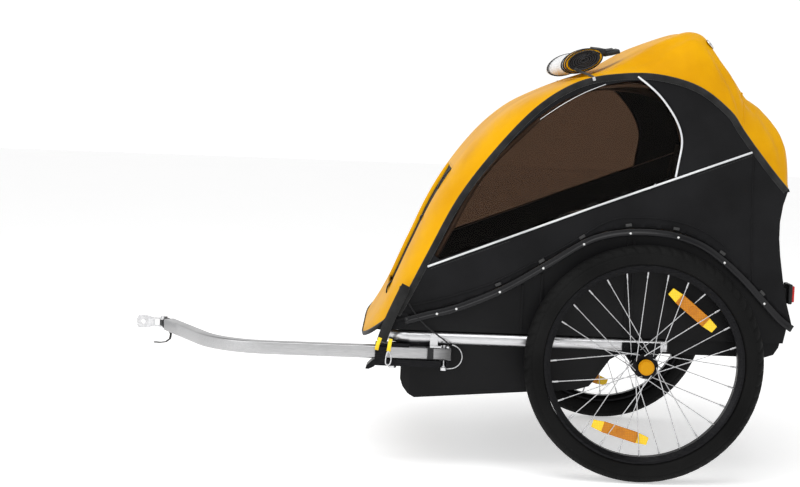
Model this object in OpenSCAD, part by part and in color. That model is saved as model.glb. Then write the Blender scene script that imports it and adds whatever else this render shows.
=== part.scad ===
// Two-seat child bicycle trailer. Millimetres, +Z up, -X towards the bicycle, -Y the left side.
// Lengths along X are given from the wheel axle. The whole model is then moved by axle_x, so that
// the origin lies under the middle of the trailer's outer box.

/* [Wheels] */
// Outer radius of a tyre
wheel_r = 248; // [240:1:252]
// Width of a tyre
tyre_w = 46; // [40:1:47]
// Distance from the middle plane to the middle of each wheel
track_half = 340; // [338:1:346]
// Number of spokes in a wheel
spoke_count = 28; // [20:4:36]
// Radius of the quick-release axle
axle_r = 6.35; // [5:0.05:6.4]

/* [Frame] */
// Outer radius of the lower frame tube
rail_r = 12.7; // [11:0.1:12.8]
// Height of the lower frame tube
rail_z = 281; // [280:1:282]
// Distance from the middle plane to a side rail
rail_y = 293; // [293:0.5:294]
// Outer radius of the side hoops
hoop_r = 8; // [6:0.5:8]
// Outer radius of the roll bar
roll_r = 9.5; // [8:0.5:9.5]

/* [Tow bar] */
// Side of the square tow bar
bar_w = 26; // [20:1:26]
// Bend of the tow bar towards the bicycle
bar_bend = 61; // [50:1:64]
// Length of the straight end of the tow bar
nose_len = 205; // [180:5:210]
// Radius of the bicycle axle hole in the hitch plate
hitch_bore_r = 5.2; // [4.8:0.1:6.5]

/* [Tub] */
// Wall thickness of the moulded tub
wall = 4; // [3:0.5:4]
// Distance from the middle plane to the outer face of the upper side wall
tub_half = 300; // [300:1:301]

/* [Cover] */
// Distance from the middle plane to a side panel
panel_y = 302; // [301.5:0.1:303]
// Thickness of the cover cloth
cloth = 2; // [1:0.5:2]

/* [Hidden] */
$fn = 48;

wheel_z = wheel_r;
rim_r = wheel_r - 42;

// where the side hoops and the roll bar turn, in X and Z
hoop_pivot = [-495, 332];
bar_pivot = [262, 372];
hoop_y = 286;
roll_y = 264;
roll_lean = 16.8;
roll_len = 578;
roll_corner = 120;
// how square the canopy is across the trailer
cover_fullness = 7;
// a side hoop: start, heading, then [length] of a straight or [radius, turn] of an arc
hoop_start = [-485, 353, 64.4];
hoop_path = [[235], [418, -19.4], [114.6], [200, -37], [560, -16], [165, -38]];

// the upper edge of the tub's side wall, front to rear
arch = [[-515, 318], [-497, 323], [-450, 337], [-393, 353], [-301, 393], [-213, 446],
    [-131, 499], [-85, 517], [-36, 525], [14, 526], [63, 520], [115, 502], [161, 471],
    [206, 432], [248, 389], [282, 355], [309, 336]];
// the seam between the canopy and a side panel, front to rear
seam = [[-517, 330], [-498, 365], [-450, 465], [-392, 580], [-313, 689], [-234, 774],
    [-154, 824], [-72, 842], [10, 843], [93, 821], [158, 774], [185, 738], [213, 702],
    [250, 657], [272, 632], [285, 618]];
// the same stations of the canopy on the middle plane
ridge = [[-572, 258], [-541, 344], [-500, 450], [-440, 580], [-366, 690], [-285, 768],
    [-190, 818], [-95, 856], [3, 914], [100, 940], [150, 885], [197, 818], [240, 785],
    [285, 735], [299, 690], [300, 614]];
// the side window, clockwise from its front corner
pane = [[-436, 452], [-372, 568], [-300, 668], [-222, 751], [-148, 798], [-70, 817],
    [-12, 816], [40, 760], [62, 722], [45, 680], [30, 630]];

// tow bar, all in X and Y unless it says otherwise
bar_y = -303;
bar_z = 249;
bar_pivot_x = -520;
bar_tail_x = -398;
bar_bend_x = -775;
bar_bend_r = 177;
pin_x = -412;
nose_dir = [-cos(bar_bend), sin(bar_bend)];
bend_end = [bar_bend_x - bar_bend_r * sin(bar_bend),
            bar_y + bar_bend_r * (1 - cos(bar_bend))];
nose_end = bend_end + nose_len * nose_dir;
hitch_at = nose_end + 34 * nose_dir;

// distance from the middle of the outer box to the axle
front_x = hitch_at[0] - 62;
rear_x = 317;
axle_x = -(front_x + rear_x) / 2;

rivet_count = 9;

// ---- helpers ----

function lerp(a, b, t) = a + (b - a) * t;

// start of step i along a path of straights and arcs, as [x, z, heading]
function walk(start, path, i) = i == 0 ? start :
    let (s = walk(start, path, i - 1), p = path[i - 1], h = s[2])
    len(p) == 1 ? [s[0] + p[0] * cos(h), s[1] + p[0] * sin(h), h] :
    let (k = h + p[1])
    [s[0] + p[0] * (sin(h) - sin(k)), s[1] + p[0] * (cos(k) - cos(h)), k];

// a closed sheet from two grids of points of the same size
module sheet(front, back) {
    m = len(front);
    n = len(front[0]);
    flat_front = [for (row = front) for (p = row) p];
    flat_back = [for (row = back) for (p = row) p];
    o = m * n;
    top = [for (i = [0 : m - 2]) for (j = [0 : n - 2])
        [i * n + j, i * n + j + 1, (i + 1) * n + j + 1, (i + 1) * n + j]];
    under = [for (f = top) [f[3] + o, f[2] + o, f[1] + o, f[0] + o]];
    ends = [for (j = [0 : n - 2]) [j + 1, j, j + o, j + 1 + o]];
    tails = [for (j = [0 : n - 2]) let (b = (m - 1) * n + j) [b, b + 1, b + 1 + o, b + o]];
    lefts = [for (i = [0 : m - 2]) let (a = i * n) [a, a + n, a + n + o, a + o]];
    rights = [for (i = [0 : m - 2]) let (a = i * n + n - 1) [a + n, a, a + o, a + n + o]];
    polyhedron(points = concat(flat_front, flat_back),
        faces = concat(top, under, ends, tails, lefts, rights));
}

// a point of the canopy at station k, across at v from -1 to 1, moved in by d
function cover_point(k, v, d) =
    let (s = seam[k], c = ridge[k], t = 1 - pow(abs(v), cover_fullness),
         a = seam[max(k - 1, 0)], b = seam[min(k + 1, len(seam) - 1)],
         n = [b[1] - a[1], a[0] - b[0]] / norm(b - a))
    [lerp(s[0], c[0], t) + n[0] * d, (panel_y - d) * v, lerp(s[1], c[1], t) + n[1] * d];

module cover(k0, k1, v0, v1, steps, depth, thick) {
    across = [for (j = [0 : steps]) sin(lerp(asin(v0), asin(v1), j / steps))];
    sheet([for (k = [k0 : k1]) [for (v = across) cover_point(k, v, depth)]],
          [for (k = [k0 : k1]) [for (v = across) cover_point(k, v, depth + thick)]]);
}

// an outline in X and Z given a thickness in Y, from y0 to y1
module slab(y0, y1) {
    translate([0, y1, 0]) rotate([90, 0, 0]) linear_extrude(y1 - y0) children();
}

module left_and_right() {
    children();
    mirror([0, 1, 0]) children();
}

module rod(a, b, r) {
    d = b - a;
    translate(a) rotate([0, acos(d[2] / norm(d)), atan2(d[1], d[0])]) cylinder(h = norm(d), r = r);
}

function unit(v) = v / norm(v);

// a round bar of radius r along points that all lie near the plane square to side
module bar_along(points, r, side, sides = 16) {
    n = len(points);
    rings = [for (i = [0 : n - 1]) let (
        t = unit(points[min(i + 1, n - 1)] - points[max(i - 1, 0)]),
        u = unit(side - t * (side * t)), w = cross(t, u))
        for (k = [0 : sides - 1])
            points[i] + r * (cos(k * 360 / sides) * u + sin(k * 360 / sides) * w)];
    walls = [for (i = [0 : n - 2]) for (k = [0 : sides - 1]) let (m = (k + 1) % sides)
        [i * sides + m, i * sides + k, (i + 1) * sides + k, (i + 1) * sides + m]];
    polyhedron(points = rings, faces = concat(walls,
        [[for (k = [0 : sides - 1]) k]],
        [[for (k = [sides - 1 : -1 : 0]) (n - 1) * sides + k]]));
}

module along_y(y0, y1, r) {
    translate([0, y1, 0]) rotate([90, 0, 0]) cylinder(h = y1 - y0, r = r);
}

module spot(p, y = 0) {
    translate([p[0], y, p[1]]) children();
}

module from_axle() {
    translate([axle_x, 0, 0]) children();
}

module at_wheel(side) {
    from_axle() translate([0, side * track_half, wheel_z]) children();
}

// ---- tub and lower frame ----

module tub_outline() {
    polygon(concat([[-515, 318], [-504, 250], [-502, 210]],
        [for (a = [190 : 20 : 250]) [-455 + 48 * cos(a), 195 + 48 * sin(a)]],
        [[-130, 179], [-104, 187], [-92, 202], [-62, 246], [-40, 258], [-20, 262],
         [262, 262], [280, 268], [290, 284], [301, 334]]));
}

module tub_hollow() {
    polygon(concat([[-511, 640], [-511, 318], [-500, 250], [-498, 210]],
        [for (a = [190 : 20 : 250]) [-455 + 44 * cos(a), 195 + 44 * sin(a)]],
        [[-131, 183], [-107, 190], [-95, 205], [-65, 249], [-42, 262], [-20, 266],
         [261, 266], [277, 271], [286, 285], [297, 334], [297, 640]]));
}

// plan of the lower tub, moved in by d, with the front corners cut off round the bent tube
module tub_plan(d, height) {
    half = tub_half - 20 - d;
    linear_extrude(height) polygon([[400, -half], [400, half], [-482 + d / 2, half],
        [-530 + d / 2, half - 29.8], [-600, half - 29.8], [-600, -half + 29.8],
        [-530 + d / 2, -half + 29.8], [-482 + d / 2, -half]]);
}

module tub() {
    color("dimgray") from_axle() {
        difference() {
            intersection() {
                slab(-tub_half, tub_half) tub_outline();
                tub_plan(0, 300);
            }
            intersection() {
                slab(-tub_half, tub_half) tub_hollow();
                tub_plan(wall, 301);
            }
        }
        difference() {
            intersection() {
                slab(-tub_half, tub_half) polygon(concat(arch, [[301, 334], [294, 296], [-511, 296]]));
                translate([-600, -400, 296]) cube([1000, 800, 400]);
            }
            slab(-tub_half + wall, tub_half - wall) intersection() {
                tub_hollow();
                translate([-600, 300]) square([1000, 400]);
            }
            translate([0, 0, 280]) intersection() {
                tub_plan(wall, 30);
                translate([-506, -400, -1]) cube([794, 800, 40]);
            }
        }
        // turned rim along the side walls
        left_and_right() slab(tub_half - 1, tub_half + 8)
            polygon(concat(arch, [for (i = [len(arch) - 1 : -1 : 0]) arch[i] - [0, 5]]));
        // front and rear rims
        translate([-534, -250, 314]) cube([21, 500, 5]);
        translate([298, -tub_half, 331]) cube([12, 2 * tub_half, 5]);
        // stiffening ribs on the outside of the side walls
        left_and_right() for (r = [[-256, 405], [-216, 430], [-40, 510], [-28, 510]])
            translate([r[0], tub_half - 1, 300]) cube([5, 4, r[1] - 305]);
    }
}

module side_rail() {
    translate([0, -rail_y, rail_z]) difference() {
        translate([-488, 0, 0]) rotate([0, 90, 0]) cylinder(h = 540, r = rail_r);
        translate([-489, 0, 0]) rotate([0, 90, 0]) cylinder(h = 542, r = rail_r - 2);
    }
}

module side_rails() {
    color("silver") from_axle() left_and_right() side_rail();
}

module front_cross_tube() {
    bend = 47;
    color("silver") from_axle() translate([0, 0, rail_z]) {
        translate([-488 - bend, 0, 0]) difference() {
            along_y(-rail_y + bend, rail_y - bend, rail_r);
            along_y(-rail_y + bend - 1, rail_y - bend + 1, rail_r - 2);
        }
        left_and_right() translate([-488, -rail_y + bend, 0]) rotate([0, 0, 180])
            rotate_extrude(angle = 90) translate([bend, 0]) difference() {
                circle(r = rail_r);
                circle(r = rail_r - 2);
            }
    }
}

module rail_end_plugs() {
    color("black") from_axle() left_and_right() translate([52, -rail_y, rail_z])
        rotate([0, 90, 0]) {
            cylinder(h = 3, r = rail_r);
            translate([0, 0, -12]) cylinder(h = 12.5, r = rail_r - 2.05);
        }
}

// ---- axle ----

module axle_beam() {
    color("silver") from_axle() translate([0, 0, wheel_z]) difference() {
        along_y(-281, 281, 11);
        along_y(-282, 282, axle_r + 0.08);
    }
}

module axle_brackets() {
    color([0.1, 0.1, 0.1]) from_axle() left_and_right() {
        difference() {
            union() {
                slab(-309, -306) polygon([[-42, 288], [38, 288], [38, 270], [16, 236],
                    [8, 230], [-8, 230], [-16, 236], [-42, 270]]);
                translate([0, 0, wheel_z]) along_y(-306, -281, 15);
            }
            translate([0, 0, wheel_z]) along_y(-310, -280, axle_r + 0.08);
        }
        for (x = [-32, 28]) translate([x, 0, 279]) along_y(-311.5, -309, 5);
    }
}

module stub_axles() {
    color("gray") from_axle() translate([0, 0, wheel_z]) left_and_right() difference() {
        along_y(-368.5, -225, axle_r);
        along_y(-369, -335, 4.1);
    }
}

module axle_button(side) {
    color("gold") at_wheel(side) rotate([side > 0 ? -90 : 90, 0, 0]) {
        translate([0, 0, 34]) cylinder(h = 8, r = 16);
        translate([0, 0, 42]) cylinder(h = 3, r = 13);
        translate([0, 0, 8]) cylinder(h = 27, r = 4);
    }
}

module axle_button_left() { axle_button(-1); }

module axle_button_right() { axle_button(1); }

// ---- wheels, each about its own middle with the axle along Y ----

module tyre_shape() {
    flat = tyre_w / 2 - 4;
    rotate([90, 0, 0]) rotate_extrude($fn = 96) difference() {
        translate([wheel_r - tyre_w / 2, 0]) union() {
            circle(r = tyre_w / 2 - 0.5);
            polygon([[0, -flat - 2], [16, -flat + 2], [tyre_w / 2, -7], [tyre_w / 2, 7],
                [16, flat - 2], [0, flat + 2]]);
        }
        translate([0, -40]) square([rim_r + 1, 80]);
        translate([0, -12]) square([rim_r + 12, 24]);
    }
}

module rim_shape() {
    rotate([90, 0, 0]) rotate_extrude($fn = 96) polygon([
        [rim_r - 13, -8], [rim_r - 13, 8], [rim_r - 4, 14], [rim_r + 0.8, 14],
        [rim_r + 0.8, 11], [rim_r - 6, 9], [rim_r - 6, -9], [rim_r + 0.8, -11],
        [rim_r + 0.8, -14], [rim_r - 4, -14]]);
}

// one spoke leans forward or back and starts on the left or right hub flange
module spoke(i) {
    flange = i % 2 == 0 ? -1 : 1;
    lean = floor(i / 2) % 2 == 0 ? 1 : -1;
    at = i * 360 / spoke_count;
    root = at + lean * 62;
    y0 = flange * (24 + (lean > 0 ? 4.3 : -2.7));
    hub_end = [22 * cos(root), y0, 22 * sin(root)];
    rim_end = [(rim_r - 13.6) * cos(at), flange * 3, (rim_r - 13.6) * sin(at)];
    rod(hub_end, rim_end, 1);
    rod(lerp(hub_end, rim_end, 0.93), rim_end, 1.9);
}

module spokes_shape() {
    for (i = [0 : spoke_count - 1]) rotate([0, -90, 0]) spoke(i);
}

module hub_shape() {
    difference() {
        union() {
            along_y(-27.5, 27.5, 17);
            for (y = [-24, 24]) translate([0, y, 0]) along_y(-1.5, 1.5, 26);
        }
        along_y(-40, 40, axle_r + 0.05);
    }
}

module wheel_reflector() {
    translate([150, 0, 0]) {
        translate([-13, -3.2, -48]) cube([26, 6.4, 96]);
        translate([-10, -3.2, -61]) cube([20, 6.4, 122]);
        along_y(-4.5, 4.5, 8);
    }
}

module tyre_left() { color([0.1, 0.1, 0.1]) at_wheel(-1) tyre_shape(); }

module tyre_right() { color([0.1, 0.1, 0.1]) at_wheel(1) tyre_shape(); }

module rim_left() { color([0.12, 0.12, 0.12]) at_wheel(-1) rim_shape(); }

module rim_right() { color([0.12, 0.12, 0.12]) at_wheel(1) rim_shape(); }

module spokes_left() { color("silver") at_wheel(-1) spokes_shape(); }

module spokes_right() { color("silver") at_wheel(1) spokes_shape(); }

module hub_left() { color("black") at_wheel(-1) hub_shape(); }

module hub_right() { color("black") at_wheel(1) hub_shape(); }

module wheel_reflectors_shape() {
    for (a = [50.7, 253.7]) rotate([0, -a, 0]) wheel_reflector();
}

module wheel_reflectors_left() { color("orange") at_wheel(-1) wheel_reflectors_shape(); }

module wheel_reflectors_right() { color("orange") at_wheel(1) wheel_reflectors_shape(); }

// ---- edge rails, rivets and snaps along the tub rim ----

module edge_rail() {
    slab(-tub_half - 11, -tub_half - 8.2) polygon(concat(
        [for (i = [1 : len(arch) - 1]) arch[i] - [0, 0]],
        [for (i = [len(arch) - 1 : -1 : 1]) arch[i] - [0, 15]]));
}

module edge_rails() { color([0.15, 0.15, 0.15]) from_axle() left_and_right() edge_rail(); }

// a point on the arch at x
function arch_z(x) = lookup(x, arch);

rivet_x = [-430, -390, -301, -213, -131, -36, 63, 161, 248];

module rail_rivets() {
    color("gainsboro") from_axle() left_and_right() for (x = rivet_x)
        translate([x, 0, arch_z(x) - 8]) along_y(-tub_half - 12.6, -tub_half - 11, 3.4);
}

module cover_snaps() {
    color("black") from_axle() left_and_right() for (x = [for (i = [0 : 6]) rivet_x[i + 2]])
        translate([x - 4, 0, arch_z(x - 4) + 8]) along_y(-panel_y - cloth - 2, -panel_y - cloth, 4.2);
}

// ---- seat ----

module seat_base() {
    color([0.2, 0.2, 0.22]) from_axle() slab(-262, 262)
        polygon([[-100, 267], [60, 267], [62, 312], [50, 318], [-90, 322], [-102, 312]]);
}

module seat_back() {
    color([0.2, 0.2, 0.22]) from_axle() slab(-235, 235)
        polygon([[64, 300], [84, 300], [150, 700], [150, 760], [136, 760], [134, 700]]);
}

module shoulder_straps() {
    color("black") from_axle() for (s = [-125, 125]) for (d = [-42, 42]) {
        slab(s + d - 18, s + d + 18)
            polygon([[67.5, 342], [69.5, 342], [126, 666], [124, 666]]);
        slab(s + d - 18, s + d + 18)
            polygon([[20, 322], [69.5, 342], [69.5, 344], [18.5, 324]]);
    }
}

module lap_straps() {
    color("black") from_axle() for (s = [-125, 125]) {
        translate([-60, s - 18, 322.3]) cube([47.6, 36, 2]);
        translate([18.3, s - 62, 320]) cube([30, 124, 2]);
    }
}

module harness_buckles() {
    color([0.08, 0.08, 0.08]) from_axle() for (s = [-125, 125]) difference() {
        translate([-12, s - 24, 323]) cube([30, 48, 14]);
        translate([3, s, 330]) cylinder(h = 20, r = 9.1);
    }
}

module buckle_button(s) {
    color("red") from_axle() translate([3, s, 333]) cylinder(h = 6, r = 9);
}

module buckle_button_left() { buckle_button(-125); }

module buckle_button_right() { buckle_button(125); }

// ---- folding cage ----

// points along a path of straights and arcs, an arc in steps of about 6 degrees
function trace(start, path, y) = concat([[start[0], y, start[1]]],
    [for (i = [0 : len(path) - 1]) let (s = walk(start, path, i), p = path[i],
         n = len(p) == 1 ? 1 : ceil(abs(p[1]) / 6))
        for (k = [1 : n]) let (e = walk(s, [len(p) == 1 ? p : [p[0], p[1] * k / n]], 1))
            [e[0], y, e[1]]]);

module hoop() {
    bar_along(concat([[hoop_pivot[0] - 1, -hoop_y, hoop_pivot[1] - 3]],
        trace(hoop_start, hoop_path, -hoop_y)), hoop_r, [0, 1, 0]);
}

// foot around the hinge pin
module hoop_foot() {
    translate([0, -hoop_y, 0]) difference() {
        spot(hoop_pivot) along_y(-8.2, 8.2, 11);
        spot(hoop_pivot) along_y(-20, 20, 4.05);
    }
}

module hoop_with_foot() {
    difference() {
        hoop();
        spot(hoop_pivot, -hoop_y) along_y(-20, 20, 8);
    }
    hoop_foot();
}

module hoop_left() { color("silver") from_axle() hoop_with_foot(); }

module hoop_right() { color("silver") from_axle() mirror([0, 1, 0]) hoop_with_foot(); }

module hoop_crossbar() {
    at = hoop_start + 120 * [cos(64.4), sin(64.4), 0];
    color("silver") from_axle() difference() {
        spot(at) along_y(-hoop_y, hoop_y, 7);
        left_and_right() spot(hoop_start, -hoop_y) rotate([0, 90 - 64.4, 0])
            cylinder(h = 235, r = hoop_r);
    }
}

module roll_bar() {
    straight = roll_len - roll_corner;
    side = roll_y - roll_corner;
    corner = [for (a = [0 : 9 : 90]) [0, side + roll_corner * cos(a), straight + roll_corner * sin(a)]];
    half = concat([[0, roll_y, 4]], corner);
    whole = concat([for (p = half) [0, -p[1], p[2]]], [for (i = [len(half) - 1 : -1 : 0]) half[i]]);
    color("silver") from_axle() spot(bar_pivot) rotate([0, -roll_lean, 0]) {
        difference() {
            bar_along(whole, roll_r, [1, 0, 0]);
            left_and_right() translate([0, -roll_y, 0]) along_y(-20, 20, 9);
        }
        left_and_right() translate([0, -roll_y, 0]) difference() {
            along_y(-9, 9, 12.5);
            along_y(-20, 20, 5.05);
        }
    }
}

// brackets that carry the hoops at the front and the roll bar at the rear
module cage_hinges() {
    color([0.1, 0.1, 0.1]) from_axle() left_and_right() {
        difference() {
            slab(-277, -274.5) polygon([[-506, 348], [-488, 348], [-482, 332], [-488, 318],
                [-500, 306.5], [-508.4, 306.5], [-510.2, 318.5], [-506, 332]]);
            spot(hoop_pivot) along_y(-280, -270, 4);
        }
        difference() {
            for (y = [-276.5, -254]) slab(y, y + 2.5) polygon([[281, 352], [281, 392],
                [262, 392], [248, 384], [246, 362], [258, 350]]);
            spot(bar_pivot) along_y(-280, -250, 5);
        }
        slab(-276.5, -251.5) polygon([[280, 300], [288.6, 300], [292, 316], [292, 378],
            [289, 388], [280, 388]]);
    }
}

module cage_pins() {
    color("silver") from_axle() left_and_right() {
        spot(hoop_pivot) {
            along_y(-295.8, -273, 4);
            along_y(-274.5, -271.5, 6.5);
        }
        spot(bar_pivot) {
            along_y(-276.5, -251, 5);
            along_y(-251.5, -249, 8);
        }
    }
}

// clips on the roll bar that the ends of the side hoops rest in
module hoop_saddles() {
    color([0.1, 0.1, 0.1]) from_axle() spot(bar_pivot) rotate([0, -roll_lean, 0])
        left_and_right() translate([0, -roll_y, 399.5]) difference() {
            union() {
                cylinder(h = 16, r = roll_r + 3);
                translate([-16, -27, 0]) cube([16, 27, 6]);
            }
            translate([0, 0, -1]) cylinder(h = 18, r = roll_r);
        }
}

// ---- cover ----

module canopy() {
    color("gold") from_axle() difference() {
        cover(0, 15, -1, 1, 20, 0, cloth);
        screen_opening(0);
    }
}

// the space that the front screen fills in the canopy
module screen_opening(gap) {
    slab(-187 + gap, 187 - gap) polygon([[-640, 352 + gap], [-640, 632 - gap],
        [-362, 632 - gap], [-400, 560], [-490, 352 + gap]]);
}

module front_screen() {
    color([0.15, 0.15, 0.15]) from_axle() intersection() {
        cover(0, 8, -1, 1, 20, 0.4, cloth - 1);
        screen_opening(0.6);
    }
}

module side_panel() {
    slab(-panel_y - cloth, -panel_y) difference() {
        polygon(concat(seam, [[276, 580], [272, 540], [276, 489], [285, 436], [294.5, 386], [309, 337]],
            [for (i = [len(arch) - 2 : -1 : 1]) arch[i] + [0, 0.5]]));
        polygon(pane);
    }
}

module side_panels() { color([0.13, 0.13, 0.14]) from_axle() left_and_right() side_panel(); }

module window_pane() {
    slab(-panel_y - cloth / 2 - 0.4, -panel_y - cloth / 2 + 0.4) polygon(pane);
}

module side_windows() { color([0.35, 0.3, 0.25]) from_axle() left_and_right() window_pane(); }

module rear_panel() {
    color([0.13, 0.13, 0.14]) from_axle() slab(-tub_half + wall + 0.5, tub_half - wall - 0.5)
        polygon([[284, 612], [272, 560], [270, 530], [275, 480], [283, 430], [292, 386],
            [298.5, 352], [299.2, 345.5], [301.2, 345.5], [300.5, 352], [294, 386], [285, 430],
            [277, 480], [272, 530], [274, 560], [286, 612]]);
}

module seam_bindings() {
    color("black") from_axle() left_and_right() slab(-panel_y - cloth - 1.2, -panel_y - cloth)
        polygon(concat([for (p = seam) p],
            [for (i = [len(seam) - 1 : -1 : 0]) let (a = seam[max(i - 1, 0)],
                b = seam[min(i + 1, len(seam) - 1)], d = (b - a) / norm(b - a))
                seam[i] + 10 * [d[1], -d[0]]]));
}

// white tapes that edge the window below and behind
module reflective_piping() {
    color("white") from_axle() left_and_right() slab(-panel_y - cloth - 1, -panel_y - cloth) {
        polygon([[-451, 432.2], [-449, 436.3], [206, 690], [207, 684]]);
        polygon([[-14, 822], [-9, 824], [20, 792], [48, 756], [66, 722], [66, 712],
            [56, 672], [48, 640], [43, 641], [51, 674], [60, 712], [60, 720], [43, 752], [16, 788]]);
    }
}

module rain_cover_roll() {
    color("whitesmoke") from_axle() slab(-238, 238) polygon(
        [for (a = [0 : 20 : 340]) [-128 + 44 * cos(a) - 6 * sin(a), 872 + 24 * sin(a) + 9 * cos(a)]]);
}

module roll_straps() {
    color("black") from_axle() for (y = [-190, 170]) slab(y, y + 20) difference() {
        polygon([for (a = [0 : 20 : 340])
            [-128 + 46 * cos(a) - 6 * sin(a), 872 + 26 * sin(a) + 9 * cos(a)]]);
        polygon([for (a = [0 : 20 : 340])
            [-128 + 44.3 * cos(a) - 6 * sin(a), 872 + 24.3 * sin(a) + 9 * cos(a)]]);
    }
}

module front_straps() {
    color([0.15, 0.15, 0.15]) from_axle() left_and_right() slab(-314, -312.5)
        polygon([[-500, 380], [-482, 380], [-512, 274], [-541, 274]]);
}

module hem_hooks() {
    color("gold") from_axle() left_and_right() {
        rod([-546, -317, 298], [-551, -324.4, 262], 2.5);
        rod([-520, -317, 290], [-523, -329.5, 254], 2.5);
    }
    color("silver") from_axle() left_and_right()
        slab(-330.5, -328) polygon([[-528.5, 254], [-522.5, 254], [-520, 236], [-522, 226],
            [-531.5, 226], [-534.5, 236]]);
}

module rear_reflector() {
    color("red") from_axle() left_and_right() translate([311, -283, 381]) cube([6, 42, 34]);
    color("black") from_axle() left_and_right() translate([303, -287, 377]) cube([8, 50, 42]);
}

module flag_socket() {
    color("black") from_axle() difference() {
        translate([309.5, -200, 341.2]) cylinder(h = 68.8, r = 7);
        translate([309.5, -200, 356]) cylinder(h = 60, r = 5);
    }
}

// ---- tow bar, receiver and hitch ----

// outline of the tow bar from above
function bar_arc(r) = [for (a = [0 : bar_bend / 12 : bar_bend])
    [bar_bend_x - r * sin(a), bar_y + bar_bend_r - r * cos(a)]];

module tow_bar() {
    outer = bar_arc(bar_bend_r + bar_w / 2);
    inner = bar_arc(bar_bend_r - bar_w / 2);
    last = len(outer) - 1;
    color("silver") from_axle() difference() {
        translate([0, 0, bar_z - bar_w / 2]) linear_extrude(bar_w) polygon(concat(
            [[bar_tail_x, bar_y - bar_w / 2]], outer, [outer[last] + nose_len * nose_dir],
            [inner[last] + nose_len * nose_dir], [for (i = [last : -1 : 0]) inner[i]],
            [[bar_tail_x, bar_y + bar_w / 2]]));
        translate([bar_tail_x - 60, bar_y - bar_w / 2 + 2, bar_z - bar_w / 2 + 2])
            cube([80, bar_w - 4, bar_w - 4]);
        translate([bar_pivot_x, bar_y, 200]) cylinder(h = 100, r = 5.05);
        translate([pin_x, bar_y, 200]) cylinder(h = 100, r = 4.05);
    }
    // sleeve near the tail
    color("black") from_axle() translate([-445, bar_y - bar_w / 2 - 1.5, bar_z - bar_w / 2 + 1])
        cube([11, 2, bar_w - 2]);
}

module receiver() {
    color([0.12, 0.12, 0.12]) from_axle() difference() {
        union() {
            // floor under the bar, with the flared foot
            translate([-556, -321, 222]) cube([154, 38, 13.6]);
            slab(-321, -283) polygon([[-556, 222], [-556, 235.6], [-562, 232], [-572, 222],
                [-575, 214], [-568, 214], [-556, 220]]);
            // outer cheek, inner wall and the plate below the rail
            translate([-556, -321, 230]) cube([25, 4.6, 32]);
            translate([-500, -289.6, 230]) cube([98, 6, 37.8]);
            translate([-556, -316, 262.4]) cube([71, 32, 5.4]);
        }
        translate([bar_pivot_x, bar_y, 200]) cylinder(h = 100, r = 5);
        translate([pin_x, bar_y, 200]) cylinder(h = 36, r = 4.6);
        translate([pin_x - 6.4, bar_y - 30, 200]) cube([11, 30, 36]);
        translate([-600, 0, rail_z]) rotate([0, 90, 0]) translate([0, -rail_y, 0])
            cylinder(h = 300, r = rail_r + 0.02);
        translate([-488, -246, rail_z]) rotate([0, 0, 180])
            rotate_extrude(angle = 90) translate([47, 0]) circle(r = rail_r + 0.02);
    }
}

module tow_pivot_bolt() {
    color("silver") from_axle() translate([bar_pivot_x, bar_y, 0]) {
        translate([0, 0, 218]) cylinder(h = 49, r = 5);
        translate([0, 0, 216]) cylinder(h = 6, r = 9, $fn = 6);
    }
}

// plate over the tail of the bar, hung from the side rail
module tail_clamp() {
    color("silver") from_axle() difference() {
        union() {
            translate([-442, -316, 262.4]) cube([40, 26.2, 3.6]);
            translate([-442, -309, 262.4]) cube([16, 3, 27]);
        }
        translate([pin_x, bar_y, 200]) cylinder(h = 100, r = 4.6);
        translate([pin_x - 6.4, bar_y - 30, 200]) cube([11, 30, 100]);
        translate([-600, -rail_y, rail_z]) rotate([0, 90, 0]) cylinder(h = 300, r = rail_r + 0.02);
    }
}

// coated cord between the rail and the keeper wire
module pin_lanyard() {
    color([0.1, 0.1, 0.1]) from_axle() {
        bar_along([[-466, -308.6, 306], [-448, -310.2, 297], [-430, -311.5, 286], [-404, -312.5, 274]],
            1.3, [0, 1, 0], 8);
    }
}

module retaining_pin() {
    color("silver") from_axle() translate([pin_x, bar_y, 0]) {
        translate([0, 0, 218]) cylinder(h = 49, r = 4);
        translate([0, 0, 214]) cylinder(h = 6, r = 7);
        // keeper wire behind the clamp
        translate([13, 0, 243]) rotate([90, 0, 0]) rotate([0, 0, -82])
            rotate_extrude(angle = 164) translate([25, 0]) circle(r = 1.2, $fn = 16);
        rod([0, 0, 216.5], [16.5, 0, 218.2], 1.2);
    }
}

module at_nose() {
    from_axle() translate([nose_end[0], nose_end[1], bar_z]) rotate([0, 0, 180 - bar_bend])
        children();
}

module hitch_connector() {
    color("black") at_nose() {
        difference() {
            union() {
                rotate([0, 90, 0]) cylinder(h = 14, r = 12);
                for (x = [3 : 5 : 13]) translate([x, 0, 0]) rotate([0, 90, 0]) cylinder(h = 2, r = 13);
                translate([12, -10, -6]) cube([10, 20, 12]);
                translate([34, 0, -6]) cylinder(h = 12, r = 10);
                translate([20, -10, -6]) cube([14, 20, 12]);
            }
            translate([34, 0, -20]) cylinder(h = 40, r = 4.05);
        }
    }
}

module hitch_plate() {
    color("gray") from_axle() translate([hitch_at[0], hitch_at[1], bar_z]) {
        difference() {
            union() {
                for (z = [-10, 7]) translate([0, 0, z]) cylinder(h = 3, r = 11);
                for (z = [-10, 7]) translate([-26, -5, z]) cube([26, 10, 3]);
                translate([-26, -5, -10]) cube([5, 10, 20]);
                slab(0, 5) polygon([[-24, -10], [-24, 10], [-40, 14], [-58, 14], [-62, 8],
                    [-62, -8], [-58, -14], [-40, -14]]);
            }
            translate([0, 0, -30]) cylinder(h = 60, r = 4);
            translate([-48, 0, 0]) along_y(-10, 10, hitch_bore_r);
        }
    }
}

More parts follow.
